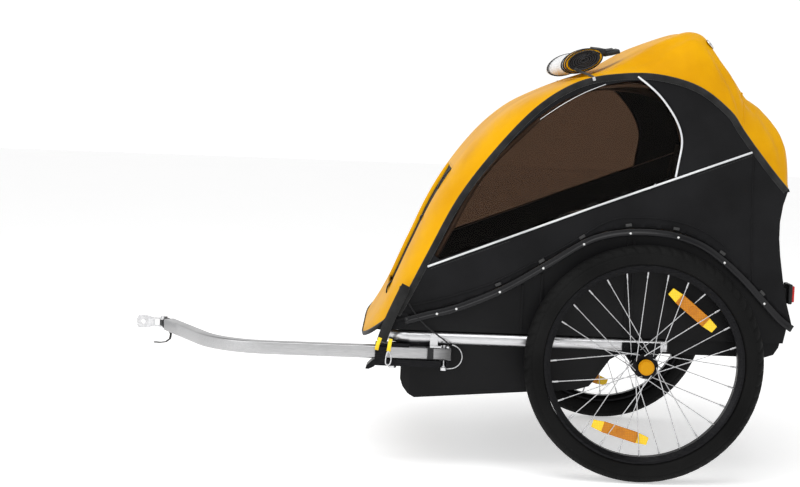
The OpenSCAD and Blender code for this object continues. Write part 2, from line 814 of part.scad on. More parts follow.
module hitch_pin() {
    color("silver") from_axle() translate([hitch_at[0], hitch_at[1], bar_z]) {
        translate([0, 0, -14]) cylinder(h = 28, r = 3.95);
        translate([0, 0, 10.1]) cylinder(h = 4, r = 8);
    }
}

module roof_grommet() {
    up = unit([0.68, -0.34, 0.65]);
    color("silver") from_axle() translate([119, -222, 907] + 3.4 * up)
        rotate([0, acos(up[2]), atan2(up[1], up[0])])
            rotate_extrude() translate([8, 0]) circle(r = 2.5, $fn = 24);
}

module safety_strap() {
    color("black") from_axle() translate([nose_end[0], nose_end[1], 0]) {
        bar_along([[2, -8, 235.2], [4, -9, 226], [2, -9, 217], [-8, -6, 210], [-34, 4, 207]],
            3, [0, 1, 0], 12);
    }
}

tub();
side_rails();
front_cross_tube();
rail_end_plugs();
axle_beam();
axle_brackets();
stub_axles();
edge_rails();
rail_rivets();
cover_snaps();
seat_base();
seat_back();
shoulder_straps();
lap_straps();
harness_buckles();
buckle_button_left();
buckle_button_right();
hoop_left();
hoop_right();
hoop_crossbar();
roll_bar();
hoop_saddles();
cage_hinges();
cage_pins();
canopy();
front_screen();
side_panels();
side_windows();
rear_panel();
seam_bindings();
reflective_piping();
roof_grommet();
rain_cover_roll();
roll_straps();
front_straps();
hem_hooks();
rear_reflector();
flag_socket();
tyre_left();
rim_left();
spokes_left();
hub_left();
wheel_reflectors_left();
axle_button_left();
tyre_right();
rim_right();
spokes_right();
hub_right();
wheel_reflectors_right();
axle_button_right();
receiver();
tow_pivot_bolt();
tail_clamp();
tow_bar();
retaining_pin();
pin_lanyard();
hitch_connector();
hitch_plate();
hitch_pin();
safety_strap();
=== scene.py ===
import math
import bpy
import bmesh
from mathutils import Matrix, Vector, noise
from mathutils.geometry import delaunay_2d_cdt
from mathutils.kdtree import KDTree


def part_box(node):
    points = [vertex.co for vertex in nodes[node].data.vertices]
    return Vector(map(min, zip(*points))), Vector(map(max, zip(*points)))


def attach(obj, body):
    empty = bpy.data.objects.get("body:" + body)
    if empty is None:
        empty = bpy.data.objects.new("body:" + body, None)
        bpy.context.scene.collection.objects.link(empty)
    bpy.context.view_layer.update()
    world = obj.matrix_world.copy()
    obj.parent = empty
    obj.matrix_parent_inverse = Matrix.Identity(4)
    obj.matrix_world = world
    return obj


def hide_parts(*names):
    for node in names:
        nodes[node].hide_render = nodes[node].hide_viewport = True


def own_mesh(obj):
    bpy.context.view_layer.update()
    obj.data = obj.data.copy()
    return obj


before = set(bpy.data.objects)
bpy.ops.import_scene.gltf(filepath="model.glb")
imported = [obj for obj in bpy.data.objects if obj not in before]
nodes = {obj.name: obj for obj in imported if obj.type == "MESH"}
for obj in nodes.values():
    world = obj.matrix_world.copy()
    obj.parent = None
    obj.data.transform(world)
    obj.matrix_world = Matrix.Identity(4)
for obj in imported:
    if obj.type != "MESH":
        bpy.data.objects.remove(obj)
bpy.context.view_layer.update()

hub_low, hub_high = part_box("hub_left")
AXLE_X = (hub_low.x + hub_high.x) / 2
AXLE_Z = (hub_low.z + hub_high.z) / 2
SIDE_Y = 303.0      # middle of a side panel's cloth, and of the tow bar, in mm
BAR_Z = 249.0       # middle of the tow bar above the ground, in mm
WHEEL_Y = -(hub_low.y + hub_high.y) / 2 * 1000


def at(x, y, z):
    """A place given in mm from the point of the ground under the axle."""
    return Vector((AXLE_X + x / 1000, y / 1000, z / 1000))


# ---- camera

camera = bpy.data.objects.new("camera", bpy.data.cameras.new("camera"))
bpy.context.scene.collection.objects.link(camera)
camera.data.lens = 70.2
camera.data.sensor_width = 36
camera.location = at(-496, -3531, 773)
look = Vector((-0.0050, 0.9958, -0.0914))
camera.matrix_world = (Matrix.Translation(camera.location)
                       @ look.to_track_quat("-Z", "Y").to_matrix().to_4x4()
                       @ Matrix.Rotation(math.radians(2.07), 4, "Z"))
bpy.context.scene.camera = camera


# ---- materials

def set_inputs(node, values):
    for key, value in values.items():
        node.inputs[key].default_value = value


def new_material(name, color, rough, metal=0.0, gloss=0.22):
    mat = bpy.data.materials.new(name)
    mat.use_nodes = True
    tree = mat.node_tree
    shader = tree.nodes["Principled BSDF"]
    set_inputs(shader, {"Base Color": (*color, 1), "Roughness": rough, "Metallic": metal,
                        "Specular IOR Level": 0.5 if metal else gloss})
    coords = tree.nodes.new("ShaderNodeTexCoord")
    return mat, tree, shader, coords


def link(tree, a, b):
    tree.links.new(a, b)


def on_stretched(tree, coords, node, stretch):
    """Feeds a texture node with the object's own coordinates, stretched."""
    mapping = tree.nodes.new("ShaderNodeMapping")
    mapping.inputs["Scale"].default_value = stretch
    link(tree, coords.outputs["Object"], mapping.inputs["Vector"])
    link(tree, mapping.outputs["Vector"], node.inputs["Vector"])
    return node.outputs["Fac"]


def noise_node(tree, coords, scale, detail=3.0, stretch=(1, 1, 1)):
    n = tree.nodes.new("ShaderNodeTexNoise")
    set_inputs(n, {"Scale": scale, "Detail": detail})
    return on_stretched(tree, coords, n, stretch)


def wave_node(tree, coords, scale, direction, stretch=(1, 1, 1)):
    w = tree.nodes.new("ShaderNodeTexWave")
    w.bands_direction = direction
    w.inputs["Scale"].default_value = scale
    return on_stretched(tree, coords, w, stretch)


def cell_node(tree, coords, scale):
    cells = tree.nodes.new("ShaderNodeTexVoronoi")
    cells.inputs["Scale"].default_value = scale
    link(tree, coords.outputs["Object"], cells.inputs["Vector"])
    return cells


def maths(tree, kind, a, b):
    m = tree.nodes.new("ShaderNodeMath")
    m.operation = kind
    for socket, value in zip(m.inputs, (a, b)):
        if isinstance(value, (int, float)):
            socket.default_value = value
        else:
            link(tree, value, socket)
    return m.outputs["Value"]


def two_tone(tree, shader, fac, dark, light, low=0.35, high=0.65):
    ramp = tree.nodes.new("ShaderNodeValToRGB")
    for end, position, color in zip(ramp.color_ramp.elements, (low, high), (dark, light)):
        end.position = position
        end.color = (*color, 1)
    link(tree, fac, ramp.inputs["Fac"])
    link(tree, ramp.outputs["Color"], shader.inputs["Base Color"])


def rough_range(tree, shader, fac, low, high):
    m = tree.nodes.new("ShaderNodeMapRange")
    set_inputs(m, {"To Min": low, "To Max": high})
    link(tree, fac, m.inputs["Value"])
    link(tree, m.outputs["Result"], shader.inputs["Roughness"])


def bump(tree, shader, height, distance, strength=1.0, over=None):
    b = tree.nodes.new("ShaderNodeBump")
    set_inputs(b, {"Strength": strength, "Distance": distance})
    link(tree, height, b.inputs["Height"])
    if over is not None:
        link(tree, over, b.inputs["Normal"])
    link(tree, b.outputs["Normal"], shader.inputs["Normal"])
    return b.outputs["Normal"]


def woven(name, dark, light, rough=0.75, thread=0.0011, sheen=0.25, crease=0.0022, coat=0.0):
    """Cloth: colour that drifts, soft creases, and threads that cross."""
    mat, tree, shader, coords = new_material(name, light, rough)
    two_tone(tree, shader, noise_node(tree, coords, 9, 4), dark, light, 0.3, 0.62)
    rough_range(tree, shader, noise_node(tree, coords, 30), rough - 0.07, rough + 0.08)
    folds = bump(tree, shader, noise_node(tree, coords, 14, 3, (1, 0.6, 0.45)), crease, 0.8)
    per = 1 / thread / 6.283 * 2
    warp = wave_node(tree, coords, per, "X")
    weft = wave_node(tree, coords, per, "Z")
    bump(tree, shader, maths(tree, "MULTIPLY", warp, weft), thread * 0.35, 0.7, folds)
    set_inputs(shader, {"Sheen Weight": sheen, "Sheen Roughness": 0.5,
                        "Coat Weight": coat, "Coat Roughness": 0.35})
    return mat


def webbed(name, dark, light, rib=0.002):
    """Webbing: ribs along and across a flat strap."""
    mat, tree, shader, coords = new_material(name, light, 0.7)
    two_tone(tree, shader, noise_node(tree, coords, 40, 4), dark, light)
    ribs = wave_node(tree, coords, 0.32 / rib, "DIAGONAL")
    cross = wave_node(tree, coords, 0.32 / rib, "DIAGONAL", (1, 1, -1))
    bump(tree, shader, maths(tree, "MAXIMUM", ribs, cross), rib * 0.25, 0.8)
    shader.inputs["Sheen Weight"].default_value = 0.2
    return mat


def moulded(name, dark, light, rough=0.45, grain=0.0009):
    """Plastic: fine grain, uneven gloss and a few dusty patches."""
    mat, tree, shader, coords = new_material(name, light, rough)
    two_tone(tree, shader, noise_node(tree, coords, 6, 5), dark, light, 0.35, 0.7)
    rough_range(tree, shader, noise_node(tree, coords, 22, 4), rough - 0.08, rough + 0.12)
    cells = cell_node(tree, coords, 1 / grain)
    bump(tree, shader, cells.outputs["Distance"], grain * 0.12, 0.5)
    return mat


def metal(name, dark, light, rough=0.3, along=(1, 12, 12), scale=60):
    """Metal: fine brushing in one direction, with a few duller patches."""
    mat, tree, shader, coords = new_material(name, light, rough, 1.0)
    brush = noise_node(tree, coords, scale, 3, along)
    two_tone(tree, shader, brush, dark, light, 0.3, 0.7)
    rough_range(tree, shader, noise_node(tree, coords, 12, 4), rough - 0.06, rough + 0.12)
    bump(tree, shader, brush, 0.00004, 0.2)
    return mat


def lens(name, dark, light, pitch=0.0035):
    """Reflector lens: small prisms under a glossy face."""
    mat, tree, shader, coords = new_material(name, light, 0.12)
    cells = cell_node(tree, coords, 1 / pitch)
    cells.distance = "CHEBYCHEV"
    cells.inputs["Randomness"].default_value = 0.0
    two_tone(tree, shader, cells.outputs["Distance"], light, dark, 0.1, 0.6)
    bump(tree, shader, cells.outputs["Distance"], 0.001, 0.8)
    set_inputs(shader, {"Coat Weight": 0.25, "Coat Roughness": 0.05})
    return mat


def film(name, tint, clear=0.0, rough=0.12):
    """Film: tinted, glossy, a little wavy, and see-through by the share in clear."""
    mat, tree, shader, coords = new_material(name, tint, rough, gloss=0.4)
    set_inputs(shader, {"Transmission Weight": clear, "IOR": 1.0 if clear else 1.3,
                        "Coat Weight": 0.10, "Coat Roughness": 0.06})
    rough_range(tree, shader, noise_node(tree, coords, 10, 3), rough, rough + 0.03)
    bump(tree, shader, noise_node(tree, coords, 5, 2, (1, 1, 0.5)), 0.0006, 0.2)
    return mat


def netting(name, color, pitch=0.0016):
    """Mesh cloth: crossed threads with holes between them."""
    mat, tree, shader, coords = new_material(name, color, 0.8)
    per = 0.32 / pitch
    threads = maths(tree, "MAXIMUM", wave_node(tree, coords, per, "Y"),
                    wave_node(tree, coords, per, "Z"))
    bump(tree, shader, threads, 0.0004, 0.8)
    two_tone(tree, shader, threads, tuple(c * 0.4 for c in color), color, 0.4, 0.8)
    shader.inputs["Alpha"].default_value = 0.82
    return mat


YELLOW = woven("yellow cloth", (0.66, 0.305, 0.0006), (0.76, 0.375, 0.0008), 0.44, sheen=0.0,
               crease=0.004, coat=0.02)
BLACK_CLOTH = woven("black cloth", (0.006, 0.006, 0.0065), (0.010, 0.010, 0.011), 0.8, sheen=0.04)
PADDING = woven("grey padding", (0.035, 0.035, 0.04), (0.06, 0.06, 0.065), 0.85, 0.0016)
# painted shade: a near-black cloth colour used only for the grommet's eye, standing in for the
# dark inside seen through a hole
PAINTED_HOLE_SHADE = woven("painted hole shade", (0.02, 0.02, 0.02), (0.035, 0.033, 0.03), 0.8)
WEB = webbed("black webbing", (0.009, 0.009, 0.009), (0.02, 0.02, 0.02))
TAPE = woven("reflective tape", (0.55, 0.56, 0.58), (0.78, 0.79, 0.80), 0.4, 0.0008, 0.1, 0.0005)
NET = netting("front mesh", (0.03, 0.03, 0.032))
SMOKE = film("smoke window", (0.235, 0.175, 0.135), 1.0, 0.015)
TUB = moulded("tub plastic", (0.004, 0.004, 0.0045), (0.008, 0.008, 0.0085), 0.4)
PLASTIC = moulded("black plastic", (0.010, 0.010, 0.011), (0.018, 0.018, 0.019), 0.38, 0.0006)
RUBBER = moulded("tyre rubber", (0.004, 0.004, 0.004), (0.009, 0.009, 0.009), 0.6, 0.0007)
BLACK_METAL = metal("black anodised", (0.008, 0.008, 0.009), (0.02, 0.02, 0.021), 0.35)
ALUMINIUM = metal("brushed aluminium", (0.55, 0.55, 0.56), (0.66, 0.66, 0.67), 0.3)
STEEL = metal("plated steel", (0.5, 0.5, 0.51), (0.72, 0.72, 0.73), 0.25, (4, 4, 4))
WIRE = metal("spoke wire", (0.42, 0.42, 0.43), (0.66, 0.66, 0.67), 0.28, (6, 6, 6))
AMBER = lens("amber lens", (0.42, 0.13, 0.002), (0.66, 0.25, 0.005))
BRIGHT_AMBER = lens("bright amber lens", (0.85, 0.48, 0.005), (0.98, 0.72, 0.04))
RED_LENS = lens("red lens", (0.35, 0.004, 0.004), (0.68, 0.015, 0.01))
RED = moulded("red plastic", (0.45, 0.01, 0.01), (0.6, 0.02, 0.015), 0.3)
YELLOW_CAP = moulded("yellow plastic", (0.56, 0.25, 0.002), (0.66, 0.32, 0.003), 0.35, 0.0006)
WHITE = moulded("white plastic", (0.62, 0.62, 0.62), (0.80, 0.80, 0.79), 0.35)
CORD = webbed("yellow cord", (0.82, 0.50, 0.01), (0.98, 0.72, 0.03), 0.0014)
for mat, level in ((YELLOW, 0.05), (BLACK_CLOTH, 0.12), (WEB, 0.12), (RUBBER, 0.07), (TUB, 0.12),
                   (YELLOW_CAP, 0.12), (PAINTED_HOLE_SHADE, 0.1)):
    mat.node_tree.nodes["Principled BSDF"].inputs["Specular IOR Level"].default_value = level

WHITE_SHEET = woven("white sheet", (0.62, 0.63, 0.64), (0.80, 0.80, 0.80), 0.35, sheen=0.1,
                    crease=0.004, coat=0.5)
THREAD = webbed("sewing thread", (0.03, 0.03, 0.03), (0.06, 0.06, 0.06), 0.0008)
SNAP_GREY = moulded("snap plastic", (0.03, 0.03, 0.03), (0.05, 0.05, 0.05), 0.35, 0.0006)
CLEAR_DARK = film("rolled clear film", (0.016, 0.016, 0.018), 0.0, 0.16)
GLOSS_BLACK = moulded("gloss black trim", (0.008, 0.008, 0.009), (0.013, 0.013, 0.014), 0.2,
                      0.0006)
BAR_METAL = metal("tow bar aluminium", (0.40, 0.40, 0.405), (0.48, 0.48, 0.485), 0.34, (1, 10, 10))


# ---- mesh helpers

def shade(mesh, smooth):
    for p in mesh.polygons:
        p.use_smooth = smooth


def add_object(name, mesh, mat, body="chassis", replaced=(), smooth=True):
    obj = bpy.data.objects.new(name, mesh)
    bpy.context.scene.collection.objects.link(obj)
    mesh.materials.append(mat)
    shade(mesh, smooth)
    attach(obj, body)
    if replaced:
        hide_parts(*replaced)
    return obj


def mesh_from(name, verts, faces):
    mesh = bpy.data.meshes.new(name)
    mesh.from_pydata([tuple(v) for v in verts], [], faces)
    mesh.validate()
    return mesh


def grid_faces(rows, cols, wrap_rows=False, wrap_cols=False, flip=False):
    """Faces between the points of a grid that is listed row by row."""
    faces = []
    for i in range(rows if wrap_rows else rows - 1):
        j = (i + 1) % rows
        for k in range(cols if wrap_cols else cols - 1):
            q = (k + 1) % cols
            a, b, c, d = i * cols + k, i * cols + q, j * cols + q, j * cols + k
            faces.append((a, d, c, b) if flip else (a, b, c, d))
    return faces


def editable(mesh):
    bm = bmesh.new()
    bm.from_mesh(mesh)
    return bm


def store(bm, mesh):
    """Writes an edited mesh back, or into a new mesh if only its name is given."""
    if isinstance(mesh, str):
        mesh = bpy.data.meshes.new(mesh)
    bm.to_mesh(mesh)
    bm.free()
    return mesh


def drop_loose(bm):
    bmesh.ops.delete(bm, geom=[v for v in bm.verts if not v.link_faces], context="VERTS")


def fix_normals(mesh):
    bm = editable(mesh)
    bmesh.ops.recalc_face_normals(bm, faces=bm.faces)
    store(bm, mesh)


def apply_modifiers(obj):
    depsgraph = bpy.context.evaluated_depsgraph_get()
    mesh = bpy.data.meshes.new_from_object(obj.evaluated_get(depsgraph))
    obj.modifiers.clear()
    obj.data = mesh
    shade(mesh, True)


def thicken(obj, mm):
    m = obj.modifiers.new("thickness", "SOLIDIFY")
    m.thickness = mm / 1000
    m.offset = 0.0


def subdivide(obj):
    m = obj.modifiers.new("smooth", "SUBSURF")
    m.levels = m.render_levels = 1


def wear(obj, mat):
    obj.data.materials.clear()
    obj.data.materials.append(mat)


def round_edges(obj, mm):
    w = obj.modifiers.new("weld", "WELD")
    w.merge_threshold = 0.00002
    b = obj.modifiers.new("edges", "BEVEL")
    b.width = mm / 1000
    b.segments = 3
    b.limit_method = "ANGLE"
    b.angle_limit = math.radians(30)
    b.harden_normals = False


def curve_at(points, t):
    """The point at t along a smooth curve through points, t counted in points."""
    i = min(max(int(t), 0), len(points) - 2)
    a, b = points[max(i - 1, 0)], points[i]
    c, d = points[i + 1], points[min(i + 2, len(points) - 1)]
    t -= i
    return tuple(0.5 * (2 * q + (r - p) * t + (2 * p - 5 * q + 4 * r - w) * t * t
                        + (3 * q - p - 3 * r + w) * t ** 3) for p, q, r, w in zip(a, b, c, d))


def spline(points, per=8):
    """A smooth curve through points of any dimension, per steps between each two."""
    steps = per * (len(points) - 1)
    return [curve_at(points, k / per) for k in range(steps)] + [tuple(points[-1])]


def even(points, step):
    """The same 2D or 3D line with points a step apart."""
    pts = [Vector(p) for p in points]
    total = sum((b - a).length for a, b in zip(pts, pts[1:]))
    n = max(2, round(total / step))
    out, want, run = [pts[0]], total / n, 0.0
    target = want
    for a, b in zip(pts, pts[1:]):
        seg = (b - a).length
        while seg > 0 and run + seg >= target - 1e-9 and len(out) < n:
            out.append(a.lerp(b, (target - run) / seg))
            target += want
        run += seg
    out.append(pts[-1])
    return out


def sweep(name, path, profile, side, mat, body="chassis", replaced=(), loop=False):
    """A profile of (across, up) pairs in mm swept along a path of places."""
    side = Vector(side)
    n, m = len(path), len(profile)
    verts = []
    for i, p in enumerate(path):
        a = path[(i - 1) % n] if loop else path[max(i - 1, 0)]
        b = path[(i + 1) % n] if loop else path[min(i + 1, n - 1)]
        t = (b - a).normalized()
        across = (side - t * side.dot(t)).normalized()
        up = t.cross(across)
        verts += [p + across * (u / 1000) + up * (v / 1000) for u, v in profile]
    faces = grid_faces(n, m, loop, True)
    if not loop:
        faces.append(tuple(range(m - 1, -1, -1)))
        faces.append(tuple(range((n - 1) * m, n * m)))
    mesh = mesh_from(name, verts, faces)
    fix_normals(mesh)
    return add_object(name, mesh, mat, body, replaced)


def ring(r, n=12):
    turns = [2 * math.pi * k / n for k in range(n)]
    return [(r * math.cos(a), r * math.sin(a)) for a in turns]


def flat_strip(width, thick):
    """Profile of a flat strap with softly rounded edges."""
    w, t = width / 2, thick / 2
    return [(-w, -t * 0.4), (-w + t, -t), (0, -t), (w - t, -t), (w, -t * 0.4),
            (w, t * 0.4), (w - t, t), (0, t), (-w + t, t), (-w, t * 0.4)]


def rounded_square(width, r, n=4):
    h = width / 2 - r
    out = []
    for cx, cy, a0 in ((h, h, 0), (-h, h, 90), (-h, -h, 180), (h, -h, 270)):
        for k in range(n + 1):
            a = math.radians(a0 + 90 * k / n)
            out.append((cx + r * math.cos(a), cy + r * math.sin(a)))
    return out


def inside(p, outline):
    """Whether a point lies inside a closed outline."""
    x, y = p[0], p[1]
    hit = False
    for (x0, y0), (x1, y1) in zip(outline, outline[1:] + outline[:1]):
        if (y0 > y) != (y1 > y) and x < (x1 - x0) * (y - y0) / (y1 - y0) + x0:
            hit = not hit
    return hit


def patch(name, outline, holes, step, place, mat, replaced=()):
    """Cloth cut to an outline with holes, laid on the surface that place gives."""
    def on_cloth(p):
        return inside(p, outline) and not any(inside(p, h) for h in holes)

    pts, edges = [], []
    for loop in [outline] + holes:
        base = len(pts)
        pts += [Vector(p) for p in loop]
        edges += [(base + i, base + (i + 1) % len(loop)) for i in range(len(loop))]
    x0, y0 = (min(p[i] for p in outline) for i in (0, 1))
    x1, y1 = (max(p[i] for p in outline) for i in (0, 1))
    edge_points = KDTree(len(pts))
    for i, p in enumerate(pts):
        edge_points.insert((p[0], p[1], 0), i)
    edge_points.balance()
    row = step * 0.866      # height of a triangle with sides of one step
    for r in range(1, int((y1 - y0) / row) + 1):
        y = y0 + r * row
        for c in range(int((x1 - x0) / step) + 1):
            x = x0 + (c + 0.5 * (r % 2)) * step
            if on_cloth((x, y)) and edge_points.find((x, y, 0))[2] > step * 0.55:
                pts.append(Vector((x, y)))
    verts, _, tris, _, _, _ = delaunay_2d_cdt(pts, edges, [], 0, 1e-6)
    keep = [t for t in tris if on_cloth(sum((verts[i] for i in t), Vector((0, 0))) / 3)]
    mesh = mesh_from(name, [place(*v) for v in verts], keep)
    bm = editable(mesh)
    drop_loose(bm)
    bmesh.ops.join_triangles(bm, faces=bm.faces, angle_face_threshold=0.7,
                             angle_shape_threshold=0.7)
    return add_object(name, store(bm, mesh), mat, replaced=replaced)


def folds_down(*objs):
    for o in objs:
        apply_modifiers(o)
        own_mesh(o)


def at_side(y, points, per):
    """A smooth line through (x, z) points, all at one y."""
    return [at(x, y, z) for x, z in spline(points, per)]


def both_sides(obj):
    """Adds an object's mirror image across the middle plane to its mesh."""
    bm = editable(obj.data)
    made = bmesh.ops.duplicate(bm, geom=bm.verts[:] + bm.edges[:] + bm.faces[:])["geom"]
    for v in made:
        if isinstance(v, bmesh.types.BMVert):
            v.co.y = -v.co.y
    bmesh.ops.reverse_faces(bm, faces=[f for f in made if isinstance(f, bmesh.types.BMFace)])
    store(bm, obj.data)


def join_parts(name, parts, mat, body="chassis", replaced=()):
    """One object out of several made by the helpers above."""
    bm = bmesh.new()
    for p in parts:
        bm.from_mesh(p.data)
        bpy.data.objects.remove(p)
    return add_object(name, store(bm, name), mat, body, replaced)


def rounded_box(low, high, edge):
    """A box the size of low to high in mm, with rounded edges, round the origin."""
    bm = bmesh.new()
    bmesh.ops.create_cube(bm, size=1)
    size = Vector([b - a for a, b in zip(low, high)]) / 1000
    bmesh.ops.scale(bm, vec=size, verts=bm.verts)
    bmesh.ops.bevel(bm, geom=bm.edges[:], offset=edge / 1000, segments=3, profile=0.5,
                    affect="EDGES")
    return bm


def block(name, low, high, mat, edge=1.5, turn=0.0):
    """A moulded block with rounded edges, low and high in mm from the axle."""
    bm = rounded_box(low, high, edge)
    mid = at(*[(a + b) / 2 for a, b in zip(low, high)])
    bmesh.ops.transform(bm, matrix=Matrix.Translation(mid) @ Matrix.Rotation(turn, 4, "Y"),
                        verts=bm.verts)
    return add_object(name, store(bm, name), mat)


# ---- canopy

SEAM = [(-517, 330), (-498, 365), (-450, 465), (-392, 580), (-313, 689), (-234, 774),
        (-154, 824), (-72, 842), (10, 843), (93, 821), (158, 774), (185, 738), (213, 702),
        (250, 657), (272, 632), (285, 618)]
RIDGE = [(-588, 268), (-545, 344), (-500, 450), (-440, 580), (-366, 690), (-285, 768),
         (-190, 818), (-95, 856), (3, 914), (100, 940), (150, 885), (197, 818), (240, 785),
         (285, 735), (299, 690), (300, 614)]
SCREEN_V = 0.62
SCREEN_U = (1.1, 3.46)


def cover(u, v, inward=0.0):
    """A point of the canopy at station u and v from -1 to 1 across, in mm, with its normal."""
    s, c = curve_at(SEAM, u), curve_at(RIDGE, u)
    t = 1 - abs(v) ** 7
    a, b = curve_at(RIDGE, max(u - 0.05, 0)), curve_at(RIDGE, min(u + 0.05, 15))
    n = Vector((b[1] - a[1], 0, a[0] - b[0])).normalized()
    p = Vector((s[0] + (c[0] - s[0]) * t, SIDE_Y * v, s[1] + (c[1] - s[1]) * t))
    return p + n * inward * (0.4 + 0.6 * t), n


# folds of the slack cloth behind the roll bar: from (u, v) to (u, v), depth and width in mm
FOLDS = [((8.9, 0.70), (7.5, 0.93), 5.0, 13), ((9.2, 0.78), (10.6, 0.955), 6.5, 12),
         ((9.5, 0.70), (12.2, 0.86), 5.5, 14), ((8.6, 0.86), (6.9, 0.955), 3.0, 10),
         ((12.0, 0.80), (13.6, 0.95), 6.0, 13), ((12.8, 0.70), (14.6, 0.90), 4.5, 14),
         ((10.2, 0.30), (11.4, 0.72), 4.0, 16), ((8.8, 0.20), (8.2, 0.60), 3.0, 18)]


STATION = 58        # about how far apart two stations of the canopy are, in mm


def folds(u, v):
    """How deep the folds of the slack cloth are at a point, in mm."""
    total = 0.0
    for (u0, v0), (u1, v1), depth, width in FOLDS:
        ax, ay, bx, by = u0 * STATION, v0 * SIDE_Y, u1 * STATION, v1 * SIDE_Y
        px, py = u * STATION, abs(v) * SIDE_Y
        t = max(0.0, min(1.0, ((px - ax) * (bx - ax) + (py - ay) * (by - ay))
                         / ((bx - ax) ** 2 + (by - ay) ** 2)))
        d = math.hypot(px - ax - t * (bx - ax), py - ay - t * (by - ay)) / width
        along = math.sin(math.pi * (0.12 + 0.8 * t))
        total += depth * along * (math.exp(-d * d) - 0.55 * math.exp(-(d - 1.7) ** 2))
    return total


def creases(u, v):
    """How far the cloth stands in from its stretched shape, in mm."""
    rise = max(0.0, 1 - abs(u - 10.2) / 3.6) * max(0.0, 1 - abs(abs(v) - 0.86) / 0.34)
    n1 = noise.noise(Vector((u * 0.9, v * 3.1, 4.0)))
    n2 = noise.noise(Vector((u * 2.6 + v * 2.0, v * 4.3, 9.0)))
    fold = max(0.0, 1 - 3.2 * abs(noise.noise(Vector((u * 1.5 - abs(v) * 5, v * 2.3, 2.0)))))
    edge = 1 - abs(v) ** 12
    calm = 0.35 if u < 6 else 1.0
    sag = 3.0 * math.sin(math.pi * min(max(u - 7.2, 0), 1.6) / 1.6) * edge
    slack = rise * (3.0 * fold ** 1.5 - 1.0) + folds(u, v) * edge
    return (1.6 * n1 + 1.0 * n2) * edge * calm + slack + sag


def cover_place(u, v, inward=0.0):
    p, n = cover(u, v, inward)
    return at(*(p + n * creases(u, v)))


def canopy_rows():
    """Stations and places across of the canopy's grid, closer together near the sides."""
    us = [i / 8 for i in range(0, 15 * 8 + 1)]
    us = sorted([u for u in us if min(abs(u - s) for s in SCREEN_U) > 0.05] + list(SCREEN_U))
    half = [0.0, 0.08, 0.16, 0.24, 0.32, 0.4, 0.47, 0.53, 0.58, 0.62, 0.66, 0.7, 0.735, 0.77, 0.8,
            0.83, 0.855, 0.88, 0.9, 0.92, 0.936, 0.95, 0.962, 0.973, 0.983, 0.992, 1.0]
    vs = [-v for v in half[:0:-1]] + half
    return us, vs


us, vs = canopy_rows()
faces = []
for face in grid_faces(len(us), len(vs), flip=True):
    i, j = divmod(face[0], len(vs))
    um, vm = (us[i] + us[i + 1]) / 2, (vs[j] + vs[j + 1]) / 2
    if not (SCREEN_U[0] < um < SCREEN_U[1] and abs(vm) < SCREEN_V):
        faces.append(face)
canopy_mesh = mesh_from("canopy_cloth", [cover_place(u, v) for u in us for v in vs], faces)
bm = editable(canopy_mesh)
drop_loose(bm)
canopy = add_object("canopy_cloth", store(bm, canopy_mesh), YELLOW, replaced=["canopy"])
thicken(canopy, 1.0)
subdivide(canopy)

verts = []
su = [SCREEN_U[0] - 0.04 + (SCREEN_U[1] - SCREEN_U[0] + 0.08) * i / 40 for i in range(41)]
sv = [-SCREEN_V - 0.01 + (2 * SCREEN_V + 0.02) * j / 28 for j in range(29)]
for u in su:
    for v in sv:
        side_in = min(1.0, 6 * (1 - abs(v) / 0.63))
        verts.append(cover_place(u, v, 5.0 + 8.0 * side_in ** 0.5
                                 * min(1, (SCREEN_U[1] - u) * 3 + 0.2)))
screen_mesh = mesh_from("front_screen_mesh", verts, grid_faces(len(su), len(sv), flip=True))
screen = add_object("front_screen_mesh", screen_mesh, NET, replaced=["front_screen"])
thicken(screen, 0.6)

# sleeves round the screen's frame, and the canopy's bound hems at the front and rear
edge_parts = []
sleeves = []
low_u, top_u = SCREEN_U
for v in (-SCREEN_V, SCREEN_V):
    line = [cover_place(low_u + (top_u - low_u) * (i / 40), v, 7.4) for i in range(41)]
    sleeves.append(sweep("sleeve", line, [(a, b * 1.05) for a, b in ring(7.6, 16)], (1, 0, 0.5),
                         YELLOW))
for u in (low_u, top_u):
    line = [cover_place(u, -SCREEN_V + 2 * SCREEN_V * j / 30, 3.0) for j in range(31)]
    sleeves.append(sweep("sleeve", line, ring(3.4, 10), (1, 0, 0.5), YELLOW))
screen_frame = join_parts("screen_frame_sleeves", sleeves, YELLOW)
for u0 in (0.0, 15.0):
    hem = [cover_place(u0, math.sin(math.pi / 2 * (-1 + 2 * j / 60)), 0.0) for j in range(61)]
    edge_parts.append(sweep("hem", hem, [(-2, -1), (0, -4), (2, -1), (2, 5), (-2, 5)],
                            (1, 0, 0.35), WEB))
canopy_edges = join_parts("canopy_edge_bindings", edge_parts, WEB)

# raised seams where the roof panels are sewn together
welts = []
for u0 in (6.35, 11.0):
    line = [cover_place(u0, math.sin(math.pi / 2 * (-0.985 + 1.97 * j / 70)), -0.7)
            for j in range(71)]
    welts.append(sweep("welt", line, ring(1.3, 6), (1, 0, 0.3), YELLOW))
roof_welts = join_parts("roof_seams", welts, YELLOW)

# ---- side panels and windows

ARCH = [(-515, 318), (-497, 323), (-450, 337), (-393, 353), (-301, 393), (-213, 446),
        (-131, 499), (-85, 517), (-36, 525), (14, 526), (63, 520), (115, 502), (161, 471),
        (206, 432), (248, 389), (282, 355), (309, 336)]
PANE_TOP = [(-440, 455), (-381, 574), (-303, 680), (-226, 757), (-148, 803), (-70, 826),
            (-28, 830)]
PIPING_CURVE = [(-36, 839), (-9, 819), (14, 798), (37, 769), (52, 743), (60, 719), (61, 697),
                (57, 669), (52, 635)]


def pane_outline(grow):
    """The window's outline, grown by a share of 200 mm about its middle."""
    top = spline(PANE_TOP, 6)
    rear = spline(PIPING_CURVE[1:], 4)
    lower = even([Vector((50, 630, 0)), Vector((-441, 442, 0))], 14)
    pts = top + rear + [(p.x, p.y) for p in lower[1:-1]]
    mid = (-170, 650)
    return [(x + (x - mid[0]) * grow / 200, z + (z - mid[1]) * grow / 200) for x, z in pts]


